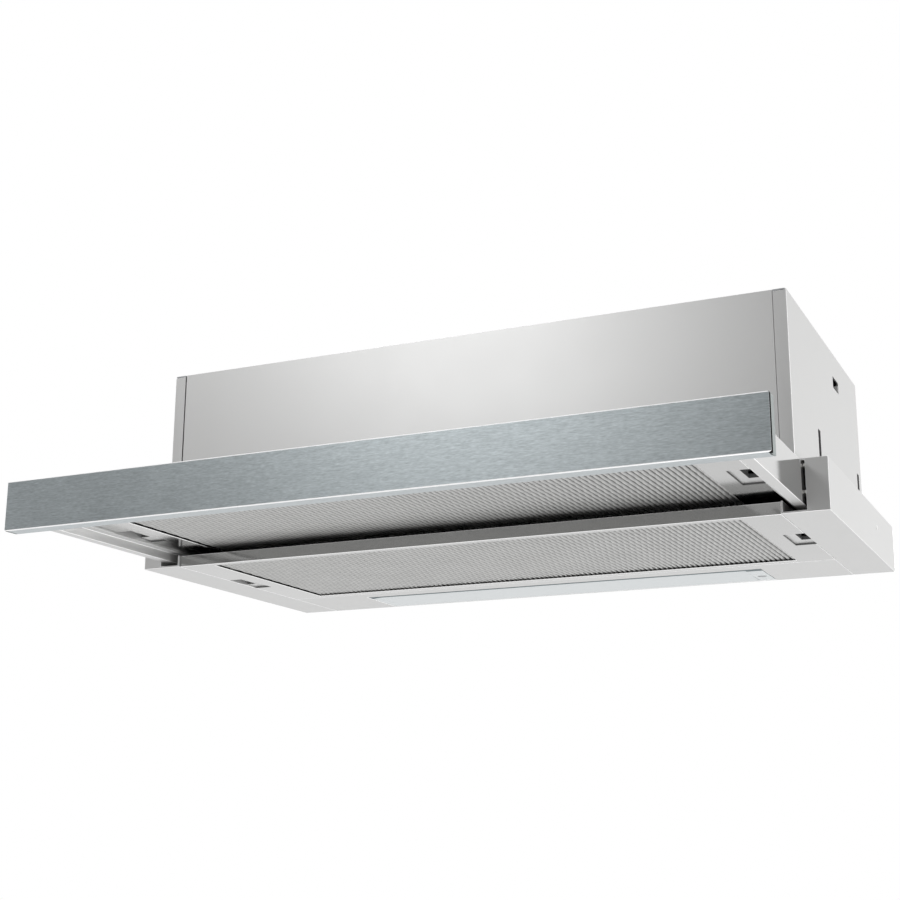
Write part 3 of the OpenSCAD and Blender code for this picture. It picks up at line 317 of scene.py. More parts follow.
# Finishes of the record's slots, of nodes that have one of their own, and of parts of pieces.
FINISHES = {
    # A fold value paints a highlight of that grey along a piece's folds and rounded edges.
    "brushed_stainless": Finish("brushed stainless", (0.42, 0.46, 0.475), 1.0, (0.285, 0.305),
                                brushed=True, contrast=1.2, bump=0.0, fold=0.97),
    "fascia_ends": Finish("pale enamel", (0.25, 0.285, 0.28), 0.3, (0.34, 0.38)),
    "painted_silver": Finish("silver paint", (0.60, 0.60, 0.595), 0.5, (0.34, 0.36),
                             contrast=0.02, fold=0.95),
    "box_panels": Finish("satin silver paint", (0.56, 0.56, 0.555), 0.7, (0.36, 0.375),
                         contrast=0.02, fold=0.95),
    # a copy of the box paint for the front panel: its lighter colour is painted light on the front, its
    # lower roughness a real gloss difference
    "front_panel_sheet": Finish("satin front", (0.68, 0.68, 0.675), 0.75, (0.325, 0.335),
                                contrast=0.02, fold=0.95),
    # a lighter copy of the box paint: painted light on the flanges' front faces
    "corner_flange_lit": Finish("satin corner", (0.635, 0.635, 0.63), 0.7, (0.36, 0.375), contrast=0.02),
    "polished_silver": Finish("polished silver paint", (0.60, 0.60, 0.595), 0.9, (0.07, 0.09),
                              contrast=0.02),
    "galvanised_steel": Finish("galvanised steel", (0.45, 0.46, 0.47), 0.8, (0.38, 0.52),
                               contrast=0.3, grain=160.0),
    "filter_frame": Finish("rolled aluminium", (0.41, 0.41, 0.405), 1.0, (0.12, 0.135),
                           brushed=True, contrast=0.03, bump=0.0, fold=0.95),
    # near black without gloss: painted shade, for walls and gaps that lie in shadow
    "painted_shade": Finish("shaded wall", (0.02, 0.02, 0.02), 0.0, (0.5, 0.6), specular=0.0),
    # mid grey with little gloss: painted shade on the latch pockets' walls
    "pocket_wall_shade": Finish("shaded aluminium", (0.16, 0.16, 0.16), 0.0, (0.4, 0.5), specular=0.1),
    "filter_pocket": Finish("pale aluminium", (0.60, 0.60, 0.595), 0.4, (0.34, 0.38), contrast=0.03),
    # hollow paints shade into the foil's grooves
    "filter_mesh": Finish("aluminium foil", (0.57, 0.57, 0.56), 0.6, (0.34, 0.42),
                          contrast=0.5, grain=900.0, bump=0.2 * MM, hollow=0.8),
    "latch_metal": Finish("satin aluminium", (0.30, 0.30, 0.30), 0.5, (0.34, 0.44)),
    # a lighter, non-metallic copy of the box paint that sets the tongue's tone inside the window: painted
    # light
    "window_tongue_painted_light": Finish("shaded paint", (0.85, 0.85, 0.84), 0.0, (0.4, 0.5)),
    "glide_plastic": Finish("ivory nylon", (0.72, 0.72, 0.69), 0.0, (0.42, 0.5)),
    "lens": Finish("frosted lens", (0.50, 0.545, 0.56), 0.0, (0.16, 0.18),
                   contrast=0.0, bump=0.0, coat=0.3),
    # painted shade along the lens's front, where it sinks into its recess
    "lens_edge_shade": Finish("shaded lens", (0.14, 0.17, 0.18), 0.0, (0.5, 0.6),
                        contrast=0.0, bump=0.0, specular=0.1),
    "white_plastic": Finish("white plastic", (0.76, 0.76, 0.75), 0.0, (0.38, 0.46)),
    # darker than the lens: painted shade standing in for the catch's shadowed groove
    "lens_catch": Finish("grey catch", (0.30, 0.31, 0.32), 0.0, (0.38, 0.46)),
    "lamp_board": Finish("white solder mask", (0.78, 0.78, 0.74), 0.0, (0.4, 0.5)),
    "dark_plastic": Finish("charcoal plastic", (0.022, 0.023, 0.026), 0.0, (0.42, 0.54),
                           contrast=0.25, bump=0.04 * MM),
    "flap_plastic": Finish("grey plastic", (0.5, 0.5, 0.49), 0.0, (0.4, 0.5)),
    "motor_steel": Finish("zinc plate", (0.42, 0.43, 0.45), 0.9, (0.3, 0.4), contrast=0.15, grain=500.0),
    "shaft_steel": Finish("ground steel", (0.55, 0.55, 0.56), 1.0, (0.16, 0.24)),
    "screw_zinc": Finish("bright zinc", (0.52, 0.53, 0.55), 1.0, (0.2, 0.3), contrast=0.1),
    "circuit_green": Finish("green board", (0.02, 0.12, 0.04), 0.0, (0.3, 0.4), contrast=0.3, grain=700.0),
    "capacitor_sleeve": Finish("pale sleeve", (0.66, 0.66, 0.64), 0.0, (0.3, 0.4)),
    "switch_red": Finish("red plastic", (0.34, 0.02, 0.01), 0.0, (0.35, 0.45)),
}
# The built materials, which main fills in by the names above.
MATERIALS: dict[str, Material] = {}


@contextmanager
def edited(mesh: Mesh) -> Iterator[bmesh.types.BMesh]:
    """Lends a mesh in a form whose edges and faces can be worked, and writes it back."""
    work = bmesh.new()
    work.from_mesh(mesh)
    yield work
    work.to_mesh(mesh)
    work.free()


def vectors(items: bpy.types.bpy_prop_collection, name: str) -> np.ndarray:
    """Reads a vector of all points or faces of a mesh, as the rows x, y and z."""
    values = np.empty(len(items) * 3, np.float32)
    items.foreach_get(name, values)
    return values.reshape(-1, 3).T


@contextmanager
def moved(mesh: Mesh) -> Iterator[np.ndarray]:
    """Lends the places of a mesh's points, as the rows x, y and z, and writes them back."""
    places = vectors(mesh.vertices, "co")
    yield places
    mesh.vertices.foreach_set("co", places.T.ravel())
    mesh.update()


def cut_across(work: bmesh.types.BMesh, axis: int, place: float) -> None:
    """Divides the faces of a mesh along a plane across an axis, at a place along it."""
    whole = [*work.verts, *work.edges, *work.faces]
    facing = Vector([float(axis == i) for i in range(3)])
    bmesh.ops.bisect_plane(work, geom=whole, plane_co=facing * place, plane_no=facing)


def put_object(name: str, data: bpy.types.ID) -> Object:
    """Puts a mesh, a lamp or a camera into the scene, at the origin."""
    made = bpy.data.objects.new(name, data)
    bpy.context.scene.collection.objects.link(made)
    return made


def put_mesh(name: str, points: np.ndarray, faces: np.ndarray, smooth: bool = True,
             closed: bool = False) -> Object:
    """Puts arrays of points and four-cornered faces into a new object at the origin.

    Args:
        name: the piece's name.
        points: (n, 3) places in metres.
        faces: (m, 4) corner numbers.
        smooth: whether the faces are shaded smooth.
        closed: whether the shape is closed, and its faces are to be turned outwards here.

    Returns:
        The new object.
    """
    mesh = bpy.data.meshes.new(name)
    mesh.vertices.add(len(points))
    mesh.vertices.foreach_set("co", np.ascontiguousarray(points, np.float32).ravel())
    mesh.loops.add(faces.size)
    mesh.loops.foreach_set("vertex_index", np.ascontiguousarray(faces, np.int32).ravel())
    mesh.polygons.add(len(faces))
    mesh.polygons.foreach_set("loop_start", np.arange(0, faces.size, 4, dtype=np.int32))
    mesh.polygons.foreach_set("loop_total", np.full(len(faces), 4, np.int32))
    mesh.polygons.foreach_set("use_smooth", np.full(len(faces), smooth))
    mesh.update(calc_edges=True)
    if closed:
        with edited(mesh) as work:
            bmesh.ops.recalc_face_normals(work, faces=work.faces)
    return put_object(name, mesh)


def keep_flat(piece: Object) -> None:
    """Shades a piece's large faces as flat beside its small rounded ones."""
    flatten = piece.modifiers.new("flat faces", "WEIGHTED_NORMAL")
    flatten.weight = FLAT_WEIGHT
    flatten.keep_sharp = True


def grid_faces(rows: int, cols: int, closed: bool = False) -> np.ndarray:
    """Faces of a grid of points, numbered row by row.

    Face (r, c) joins the points (r, c), (r, c + 1), (r + 1, c + 1) and (r + 1, c).

    Args:
        rows: number of rows.
        cols: number of columns.
        closed: whether the last column joins the first.

    Returns:
        (m, 4) corner numbers.
    """
    r, c = np.meshgrid(np.arange(rows - 1), np.arange(cols if closed else cols - 1), indexing="ij")
    after = (c + 1) % cols
    low, high = r * cols, (r + 1) * cols
    return np.stack([low + c, low + after, high + after, high + c], -1).reshape(-1, 4)


def bent_path(corners: np.ndarray, radius: float, steps: int) -> np.ndarray:
    """Points of a flat path of straight runs joined by quarter-circle bends.

    At a corner c between runs of unit directions a and b, the path follows the arc
    c + r (b - a + a sin t - b cos t), with t from 0 to a quarter turn.

    Args:
        corners: (n, 2) corners of the path before it is bent.
        radius: radius r of the bends.
        steps: points on each bend.

    Returns:
        (m, 2) points.
    """
    run = np.diff(corners, axis=0)
    run = run / np.linalg.norm(run, axis=1)[:, None]
    a, b = run[:-1, None], run[1:, None]
    t = np.linspace(0, np.pi / 2, steps)[None, :, None]
    arcs = corners[1:-1, None] + radius * (b - a + a * np.sin(t) - b * np.cos(t))
    return np.concatenate([corners[:1], arcs.reshape(-1, 2), corners[-1:]])


def sheet_strip(name: str, outer: np.ndarray, inner: np.ndarray, ends: np.ndarray, along: int) -> Object:
    """Closed sheet whose section, between two paths, is carried along one axis.

    The section's ring runs out along the outer path and back along the inner one. It stands at
    both ends, and strips of faces between the two paths close it there.

    Args:
        name: the piece's name.
        outer: (n, 2) outer path, in the two other axes in order.
        inner: (n, 2) inner path.
        ends: (2, n) place of each end along the axis, for each step of the paths.
        along: number of the axis.

    Returns:
        The new object, with its flat faces kept flat.
    """
    count = len(outer)
    points = np.empty((2, 2 * count, 3))
    points[:, :, [axis for axis in range(3) if axis != along]] = np.concatenate([outer, inner[::-1]])
    points[:, :, along] = np.concatenate([ends, ends[:, ::-1]], 1)
    i = np.arange(count - 1)
    cap = np.stack([i, i + 1, 2 * count - 2 - i, 2 * count - 1 - i], -1)
    faces = np.concatenate([grid_faces(2, 2 * count, closed=True), cap, cap + 2 * count])
    made = put_mesh(name, points.reshape(-1, 3), faces, closed=True)
    made.data.set_sharp_from_angle(angle=CREASE_ANGLE)
    keep_flat(made)
    return made


def finish_piece(piece: Object, slot: str, body: str, nodes: tuple[str, ...] = (),
                 finish: str = "") -> None:
    """Gives a piece its material and body, and hides the nodes that it stands for.

    Where the finish has a highlight painted along its folds, that look is the piece's second material.

    Args:
        piece: the finished piece.
        slot: the record's material slot.
        body: the body that it rides on.
        nodes: CAD nodes that it replaces.
        finish: name of its finish, if that isn't its slot's.
    """
    look = finish or slot
    piece.data.materials.clear()
    piece.data.materials.append(MATERIALS[look])
    if FINISHES[look].fold:
        piece.data.materials.append(MATERIALS[look + "_fold_highlight"])
    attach(piece, body)
    if nodes:
        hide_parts(*nodes)
    log.info("%s: %d faces, rides on %s", piece.name, len(piece.data.polygons), body)


def box_mm(*corners: Triple) -> tuple[Triple, ...]:
    """A box's two corners in metres, from millimetres."""
    return tuple(tuple(MM * value for value in corner) for corner in corners)


def in_box(edge: bmesh.types.BMEdge, low: Triple, high: Triple) -> bool:
    """Whether both ends of an edge lie in a box, which stands for its mirror image in X too."""
    ends = [(abs(v.co.x), v.co.y, v.co.z) for v in edge.verts]
    return all(low[i] <= end[i] <= high[i] for end in ends for i in range(3))


def worked_copy(node: str, name: str, bevel: float, body: str, slot: str, finish: str = "",
                plain: tuple = ()) -> Object:
    """A copy of a sheet node with its edges rounded, which stands for that node.

    The copy's loose triangles are merged and its flat faces joined, and a bevel that follows
    every edge past the fold angle rounds it. Where the finish has a highlight painted along its
    folds, the rounding carries that painted highlight.

    Args:
        node: the CAD node.
        name: the piece's name.
        bevel: width of the rounding, in metres.
        body: the body that it rides on.
        slot: the record's material slot.
        finish: name of its finish, if that isn't its slot's.
        plain: boxes, as pairs of corners, whose edges stay sharp.

    Returns:
        The new piece.
    """
    mesh = frame["nodes"][node].data.copy()
    mesh.name = name
    with edited(mesh) as work:
        bmesh.ops.remove_doubles(work, verts=work.verts, dist=MERGE)
        bmesh.ops.dissolve_limit(work, angle_limit=FLAT_ANGLE, verts=work.verts, edges=work.edges)
        weight = work.edges.layers.float.new("bevel_weight_edge")
        for edge in work.edges:
            folded = edge.calc_face_angle(0.0) > FOLD_ANGLE
            kept = any(in_box(edge, *box) for box in plain)
            edge[weight] = float(folded and not kept)
            edge.smooth = not (folded and kept)
    made = put_object(name, mesh)
    rounding = made.modifiers.new("rounded edges", "BEVEL")
    rounding.width = bevel
    rounding.segments = ROUND_STRIPS
    rounding.limit_method = "WEIGHT"
    rounding.use_clamp_overlap = False
    keep_flat(made)
    mesh.shade_smooth()
    finish_piece(made, slot, body, (node,), finish)
    # the rounding carries the finish's painted fold highlight
    if len(mesh.materials) > 1:
        rounding.material = 1
    return made


def repaint(piece: Object, finish: str,
            chosen: Callable[[np.ndarray, np.ndarray], np.ndarray]) -> None:
    """Gives some faces of a piece another finish.

    Args:
        piece: the piece.
        finish: name of the finish.
        chosen: says which faces, from the rows x, y and z of their centres and normals.
    """
    faces = piece.data.polygons
    index = np.empty(len(faces), np.int32)
    faces.foreach_get("material_index", index)
    index[chosen(vectors(faces, "center"), vectors(faces, "normal"))] = len(piece.data.materials)
    piece.data.materials.append(MATERIALS[finish])
    faces.foreach_set("material_index", index)


@dataclass
class FilterPad:
    """Expanded aluminium of one grease filter: a foil pleated front to back, of slanting strands.

    Fields:
        node: the filter's mesh node.
        body: the body that it rides on.
        pitch: spacing of the pleats, before they are fitted into the opening.
        side_gap: dark gap between the foil and the opening's left wall.
        round_depth: fall of a pleat's rounded face from its middle to its edges.
        groove_depth: further depth of the grooves between the pleats.
        rise: height of the lowest strands above the node's lowest face.
        strand_width: spacing of the strands across the pleats.
        strand_length: spacing of the strands along the pleats.
        strand_relief: height of the strands.
        strand_drop: how much steeper a strand drops than it rises.
        front_share: share of the strands of the front slant in the relief.
        pleat_share: share of the pleats in the hollow attribute, which sets the painted shade, and the
            strands have the rest.
        full_share: share of the groove's depth at which a pleat gets the full painted shade.
        across_shares: places of a pleat's points, from its middle at 0 to its edges at 1.
        step: spacing of the points along the pleats.
    """

    node: str
    body: str
    pitch: float = 4.31 * MM
    # side_gap: gap between the foil and the opening's left wall, where the shade painted on the block
    # behind shows.
    side_gap: float = 3.4 * MM
    round_depth: float = 0.9 * MM
    groove_depth: float = 2.6 * MM
    rise: float = 0.1 * MM
    strand_width: float = 5.0 * MM
    strand_length: float = 16.4 * MM
    strand_relief: float = 0.3 * MM
    strand_drop: float = 4.0
    front_share: float = 0.72
    pleat_share: float = 0.7
    full_share: float = 0.3
    across_shares: tuple[float, ...] = (-1.0, -0.9, -0.8, -0.55, -0.28, 0.0, 0.28, 0.55, 0.8, 0.9)
    step: float = 1.3 * MM

    def build(self) -> None:
        """Builds the foil in two halves, and the pad behind it."""
        low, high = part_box(self.node)
        count = int((high.x - low.x) / self.pitch)
        half = count // 2
        left = low.x + self.side_gap
        pitch = (high.x - left) / count
        y = np.linspace(low.y, high.y, int((high.y - low.y) / self.step) + 1)
        self.foil("left", left, pitch, half, y, low.z)
        self.foil("right", left + half * pitch, pitch, count - half, y, low.z)
        deep = low.z + self.rise + self.round_depth + self.groove_depth + self.strand_relief
        self.backing(Vector((low.x, low.y, deep)), high)

    def strands(self, x: np.ndarray, y: np.ndarray) -> np.ndarray:
        """Height of the strands, from 0 to 1, at places across and along the pleats.

        Strands of the front slant rise slowly and drop back sharply. Those of the other slant
        rise and fall alike, are lower and pass behind them.
        """
        first = (x / self.strand_width + y / self.strand_length) % 1.0
        second = (x / self.strand_width - y / self.strand_length) % 1.0
        peak = self.strand_drop / (self.strand_drop + 1)
        front = np.minimum(first, self.strand_drop * (1 - first)) / peak
        return self.front_share * front + (1 - self.front_share) * np.abs(2 * second - 1)

    def foil(self, side: str, left: float, pitch: float, count: int, y: np.ndarray, low_z: float) -> None:
        """Builds some pleats of the foil.

        A point at share u across a pleat, from -1 to 1, lies deeper than the pleat's middle by
        the round depth times u squared plus the groove depth times u to the sixth power, and
        the strands' height is added. The hollow attribute, which sets the shade painted into the
        grooves and between the strands, mixes that fall, as a share of a full hollow's, with the
        strands' height.

        Args:
            side: word for the half of the filter.
            left: place of the first pleat's left edge.
            pitch: spacing of the pleats.
            count: number of pleats.
            y: places of the rows of points.
            low_z: height of the node's lowest face.
        """
        across = np.tile(self.across_shares, count)
        pleat = np.repeat(np.arange(count), len(self.across_shares))
        x = np.append(left + (pleat + (across + 1) / 2) * pitch, left + count * pitch)
        u = np.append(across, -1.0)
        yy, xx = np.meshgrid(y, x, indexing="ij")
        fall = self.round_depth * u**2 + self.groove_depth * np.abs(u) ** 6
        strands = self.strands(xx, yy)
        height = fall[None] + self.strand_relief * strands
        points = np.stack([xx, yy, low_z + self.rise + height], -1).reshape(-1, 3)
        made = put_mesh(f"{self.node}_foil_{side}", points, grid_faces(len(y), len(x))[:, ::-1])
        full = self.round_depth + self.full_share * self.groove_depth
        hollow = self.pleat_share * np.clip(fall / full, 0, 1)[None] + (1 - self.pleat_share) * strands
        # painted shade: the hollow attribute darkens the foil's grooves and the gaps between strands
        depth = made.data.attributes.new("hollow", "FLOAT", "POINT")
        depth.data.foreach_set("value", np.ascontiguousarray(hollow, np.float32).ravel())
        finish_piece(made, "filter_mesh", self.body, (self.node,))

    def backing(self, low: Vector, high: Vector) -> None:
        """Builds the closed block of further layers behind the foil, between two corners, painted near
        black as their shade.
        """
        x, y, z = ((low[i], high[i]) for i in range(3))
        points = np.array([[x[i], y[j], z[k]] for k in (0, 1) for j in (0, 1) for i in (0, 1)])
        faces = np.array([[0, 2, 3, 1], [4, 5, 7, 6], [0, 1, 5, 4], [1, 3, 7, 5], [3, 2, 6, 7],
                          [2, 0, 4, 6]])
        made = put_mesh(self.node + "_layers", points, faces, False)
        # the further layers are painted in shade
        finish_piece(made, "filter_mesh", self.body, (), "painted_shade")


def latch_spring(node: str, body: str, latch: str) -> None:
    """Copies the coil spring behind a filter's latch; the copy stays put and does not shorten as the latch
    goes in.

    Args:
        node: the spring's node.
        body: the body that its inner end rests on, which only the log names.
        latch: the body that its outer end follows, which only the log names.
    """
    mesh = frame["nodes"][node].data.copy()
    with edited(mesh) as work:
        bmesh.ops.remove_doubles(work, verts=work.verts, dist=MERGE)
    mesh.shade_smooth()
    mesh.materials.clear()
    mesh.materials.append(MATERIALS["shaft_steel"])
    made = put_object(node + "_coil", mesh)
    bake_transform(made)
    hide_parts(node)
    log.info("%s: %d faces, between %s and %s", made.name, len(mesh.polygons), body, latch)


@dataclass
class FilterRim:
    """Frame of one grease filter, with a latch pocket at each end.

    Fields:
        name: word for the filter, which starts the names of its nodes.
        body: the body that it rides on.
        bevel: rounding of its edges.
        pocket_w: width of the latch pockets, at the frame's ends.
        pocket_depth: depth of those pockets in the CAD.
        pocket_shown: depth that the shown pockets have.
        pocket_y: places of their front and back, from the frame's front edge.
        room: how much wider than the pockets the boxes round them are.
        floor_span: heights of the pockets' uneven floors, from their depth in the CAD.
        floor_slack: how far off its height a face of the floor may be.
        wall_low: height from which an upright face is a pocket's wall.
        margin: distance from the frame's outer walls beyond which its walls are the opening's.
    """

    name: str
    body: str
    bevel: float = 0.4 * MM
    pocket_w: float = 16.9 * MM
    pocket_depth: float = 3.5 * MM
    pocket_shown: float = 1.5 * MM
    pocket_y: tuple[float, float] = (72.0 * MM, 127.5 * MM)
    room: float = 1.0 * MM
    floor_span: tuple[float, float] = (-0.2 * MM, 0.9 * MM)
    floor_slack: float = 0.3 * MM
    wall_low: float = 0.2 * MM
    margin: float = 2.5 * MM

    def build(self) -> None:
        """Builds the springs of the latches, and the rim with its shallower pockets, with shade painted on
        the pockets' walls and the opening's walls.
        """
        for side in ("left", "right"):
            latch_spring(f"{self.name}_spring_{side}", self.body, f"{self.name}_latch_{side}")
        node = self.name + "_filter_frame"
        low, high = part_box(node)
        edge = high.x - self.pocket_w
        front, back = (low.y + place for place in self.pocket_y)
        pocket = ((edge - self.room, front, low.z - self.room), (high.x + self.room, back, high.z))
        made = worked_copy(node, self.name + "_filter_rim", self.bevel, self.body, "filter_frame",
                           plain=(pocket,))
        with moved(made.data) as (x, y, z):
            depth = z - low.z - self.pocket_depth
            floor = (np.abs(x) > edge - self.room) & (y > front) & (y < back)
            floor &= (depth > self.floor_span[0]) & (depth < self.floor_span[1])
            z[floor] -= self.pocket_depth - self.pocket_shown
        shown = low.z + self.pocket_shown
        repaint(made, "filter_pocket", lambda at, normal: (
            (np.abs(at[0]) > edge) & (np.abs(at[2] - shown) < self.floor_slack) & (normal[2] < -FACING)))
        # the pockets' walls are painted in shade
        repaint(made, "pocket_wall_shade", lambda at, normal: (
            (np.abs(at[0]) > edge - self.room) & (np.abs(normal[2]) < UPRIGHT)
            & (at[2] > low.z + self.wall_low) & (at[1] > front) & (at[1] < back)))
        # the opening's walls are painted in shade
        repaint(made, "painted_shade", lambda at, normal: (
            (np.abs(at[0]) < edge - self.room) & (np.abs(normal[2]) < UPRIGHT)
            & (at[1] > low.y + self.margin) & (at[1] < high.y - self.margin)))


@dataclass
class DrawerFront:
    """Stainless skin of the drawer's front, folded back above and below, and its end caps.

    Fields:
        sheet: thickness of the skin.
        bend: outer radius of its folds.
        steps: points on each fold.
        cap_t: how far the folded returns stop short of the front's ends.
        cap_bevel: rounding of the end caps' edges.
        seam: width of the dark joint between a return and the end cap.
        joint: length of the dark joint between the front and the end cap, front to back.
    """

    sheet: float = 0.6 * MM
    bend: float = 0.8 * MM
    steps: int = 7
    cap_t: float = 1.6 * MM
    # seam: width of the gap between a return and the end cap, whose face there is painted in shade.
    cap_bevel: float = 0.3 * MM
    # joint: length of the band of painted shade on the end cap's front, along its joint with the skin,
    # front to back.
    seam: float = 0.4 * MM
    joint: float = 3.6 * MM

    def build(self) -> None:
        """Builds the skin and the caps."""
        self.skin()
        self.caps()

    def skin(self) -> None:
        """Builds the skin.

        Its section is a path from the upper return's end round the two folds to the lower
        return's end, and the same path inset by the sheet. The ends step in from the front's
        width to the returns' width over the bend. The first faces follow the outer path, and
        those on its two bends carry a painted highlight.
        """
        low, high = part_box("fascia")
        outer = np.array([[high.y, high.z], [low.y, high.z], [low.y, low.z], [high.y, low.z]])
        inset = np.array([[0, -1], [1, -1], [1, 1], [0, 1]]) * self.sheet
        outside = bent_path(outer, self.bend, self.steps)
        inside = bent_path(outer + inset, self.bend - self.sheet, self.steps)
        back = np.clip((outside[:, 0] - low.y) / self.bend, 0, 1)
        half = high.x - (self.cap_t + self.seam) * back
        made = sheet_strip("fascia_skin", outside, inside, np.stack([-half, half]), 0)
        finish_piece(made, "brushed_stainless", "drawer", ("fascia",))
        # the faces on the two bends carry the painted highlight
        folds = np.zeros(len(made.data.polygons), np.int32)
        for bend in range(2):
            first = 1 + bend * self.steps
            folds[first:first + self.steps - 1] = 1
        made.data.polygons.foreach_set("material_index", folds)

    def caps(self) -> None:
        """Copies the end caps, and paints shade on their faces along the joints with the skin."""
        made = worked_copy("fascia_caps", "fascia_end_caps", self.cap_bevel, "drawer", "fascia_ends")
        low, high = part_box("fascia_caps")
        front, side = low.y + self.joint, high.x - self.cap_t + self.seam
        with edited(made.data) as work:
            cut_across(work, 1, front)
            cut_across(work, 0, side)
            cut_across(work, 0, -side)
        # painted shade along the joints with the skin
        repaint(made, "painted_shade", lambda at, normal: (
            (at[1] < front) | ((np.abs(at[0]) < side) & (normal[2] < -FACING))))


@dataclass
class Lens:
    """Frosted lens of the lamp, with sloping borders and a flat end for its catch.

    Fields:
        node: the lens's node.
        bevel: rounding of its edges.
        gap: further gap at the lens's ends.
        front_gap: further gap at its front.
        rim: width of the flat rim outside the borders.
        rear_border: width of the border at the back.
        dish_edge: distance from an outer edge within which the dish's own edge lies.
        floor_span: heights above the lens's face between which the dish's floor lies.
        shade: width of the band of painted shade along its front.
        crease: angle past which its faces meet at a sharp line.
    """

    node: str = "lamp_lens"
    bevel: float = 0.2 * MM
    gap: float = 0.4 * MM
    front_gap: float = 1.0 * MM
    rim: float = 0.5 * MM
    rear_border: float = 0.5 * MM
    dish_edge: float = 12.0 * MM
    floor_span: tuple[float, float] = (0.5 * MM, 1.2 * MM)
    shade: float = 9.8 * MM
    crease: float = math.radians(3)

    def build(self) -> None:
        """Builds the lens from its node, and paints a band of shade along its front."""
        made = worked_copy(self.node, "lamp_lens_frosted", self.bevel, "root", "lens")
        self.reshape(made.data)
        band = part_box(self.node)[0].y + self.shade
        with edited(made.data) as work:
            cut_across(work, 1, band)
        made.data.set_sharp_from_angle(angle=self.crease)
        # the band along the front is painted in shade
        repaint(made, "lens_edge_shade", lambda at, normal: (at[1] < band) & (normal[2] < -UPRIGHT))

    def reshape(self, mesh: Mesh) -> None:
        """Widens the shallow dish in the lens's face, and the gaps round the lens.

        The dish's mouth moves out to the rim at the left, front and back, so the dish's walls
        become sloping borders. The back of its floor moves back and comes down to the face.
        """
        low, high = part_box(self.node)
        with moved(mesh) as (x, y, z):
            mouth = (z < low.z + SLACK) & (x > low.x + SLACK) & (y > low.y + SLACK) & (y < high.y - SLACK)
            left = x < x.min() + self.dish_edge
            front, back = y < low.y + self.dish_edge, y > high.y - self.dish_edge
            floor = (z > low.z + self.floor_span[0]) & (z < low.z + self.floor_span[1])
            x[mouth & left] = low.x + self.gap + self.rim
            y[mouth & front] = low.y + self.front_gap + self.rim
            y[mouth & back] = high.y - self.rim
            y[floor & back] = high.y - self.rim - self.rear_border
            z[floor & back] = low.z + SLACK
            x[x < low.x + SLACK] = low.x + self.gap
            x[x > high.x - SLACK] = high.x - self.gap
            y[y < low.y + SLACK] = low.y + self.front_gap


@dataclass
class WindowTongue:
    """Tongue in the side panel's small window, bent inwards from its rear edge.

    Fields:
        rear_y: place of the window's rear edge.
        span_z: lower and upper edge of the tongue.
        outside_x: the panel's outer face.
        sheet: thickness of the tongue.
        reach: how far in and forward the tongue goes.
        steps: points along its bend.
    """

    rear_y: float = 137.8 * MM
    span_z: tuple[float, float] = (141.2 * MM, 148.4 * MM)
    outside_x: float = 275.1 * MM
    sheet: float = 0.8 * MM
    reach: tuple[float, float] = (7.0 * MM, 0.8 * MM)
    steps: int = 7

    def build(self) -> None:
        """Builds the tongue on the right.

        At share s of its way in, it lies forward by its forward reach times s squared.
        """
        s = np.linspace(0, 1, self.steps)
        outer = np.stack([self.outside_x - self.reach[0] * s, self.rear_y - self.reach[1] * s**2], -1)
        ends = np.repeat(np.array(self.span_z)[:, None], len(s), 1)
        made = sheet_strip("side_window_tongue", outer, outer - [0, self.sheet], ends, 2)
        # the tongue takes a re-toned copy of the box paint, painted light
        finish_piece(made, "box_panels", "root", (), "window_tongue_painted_light")


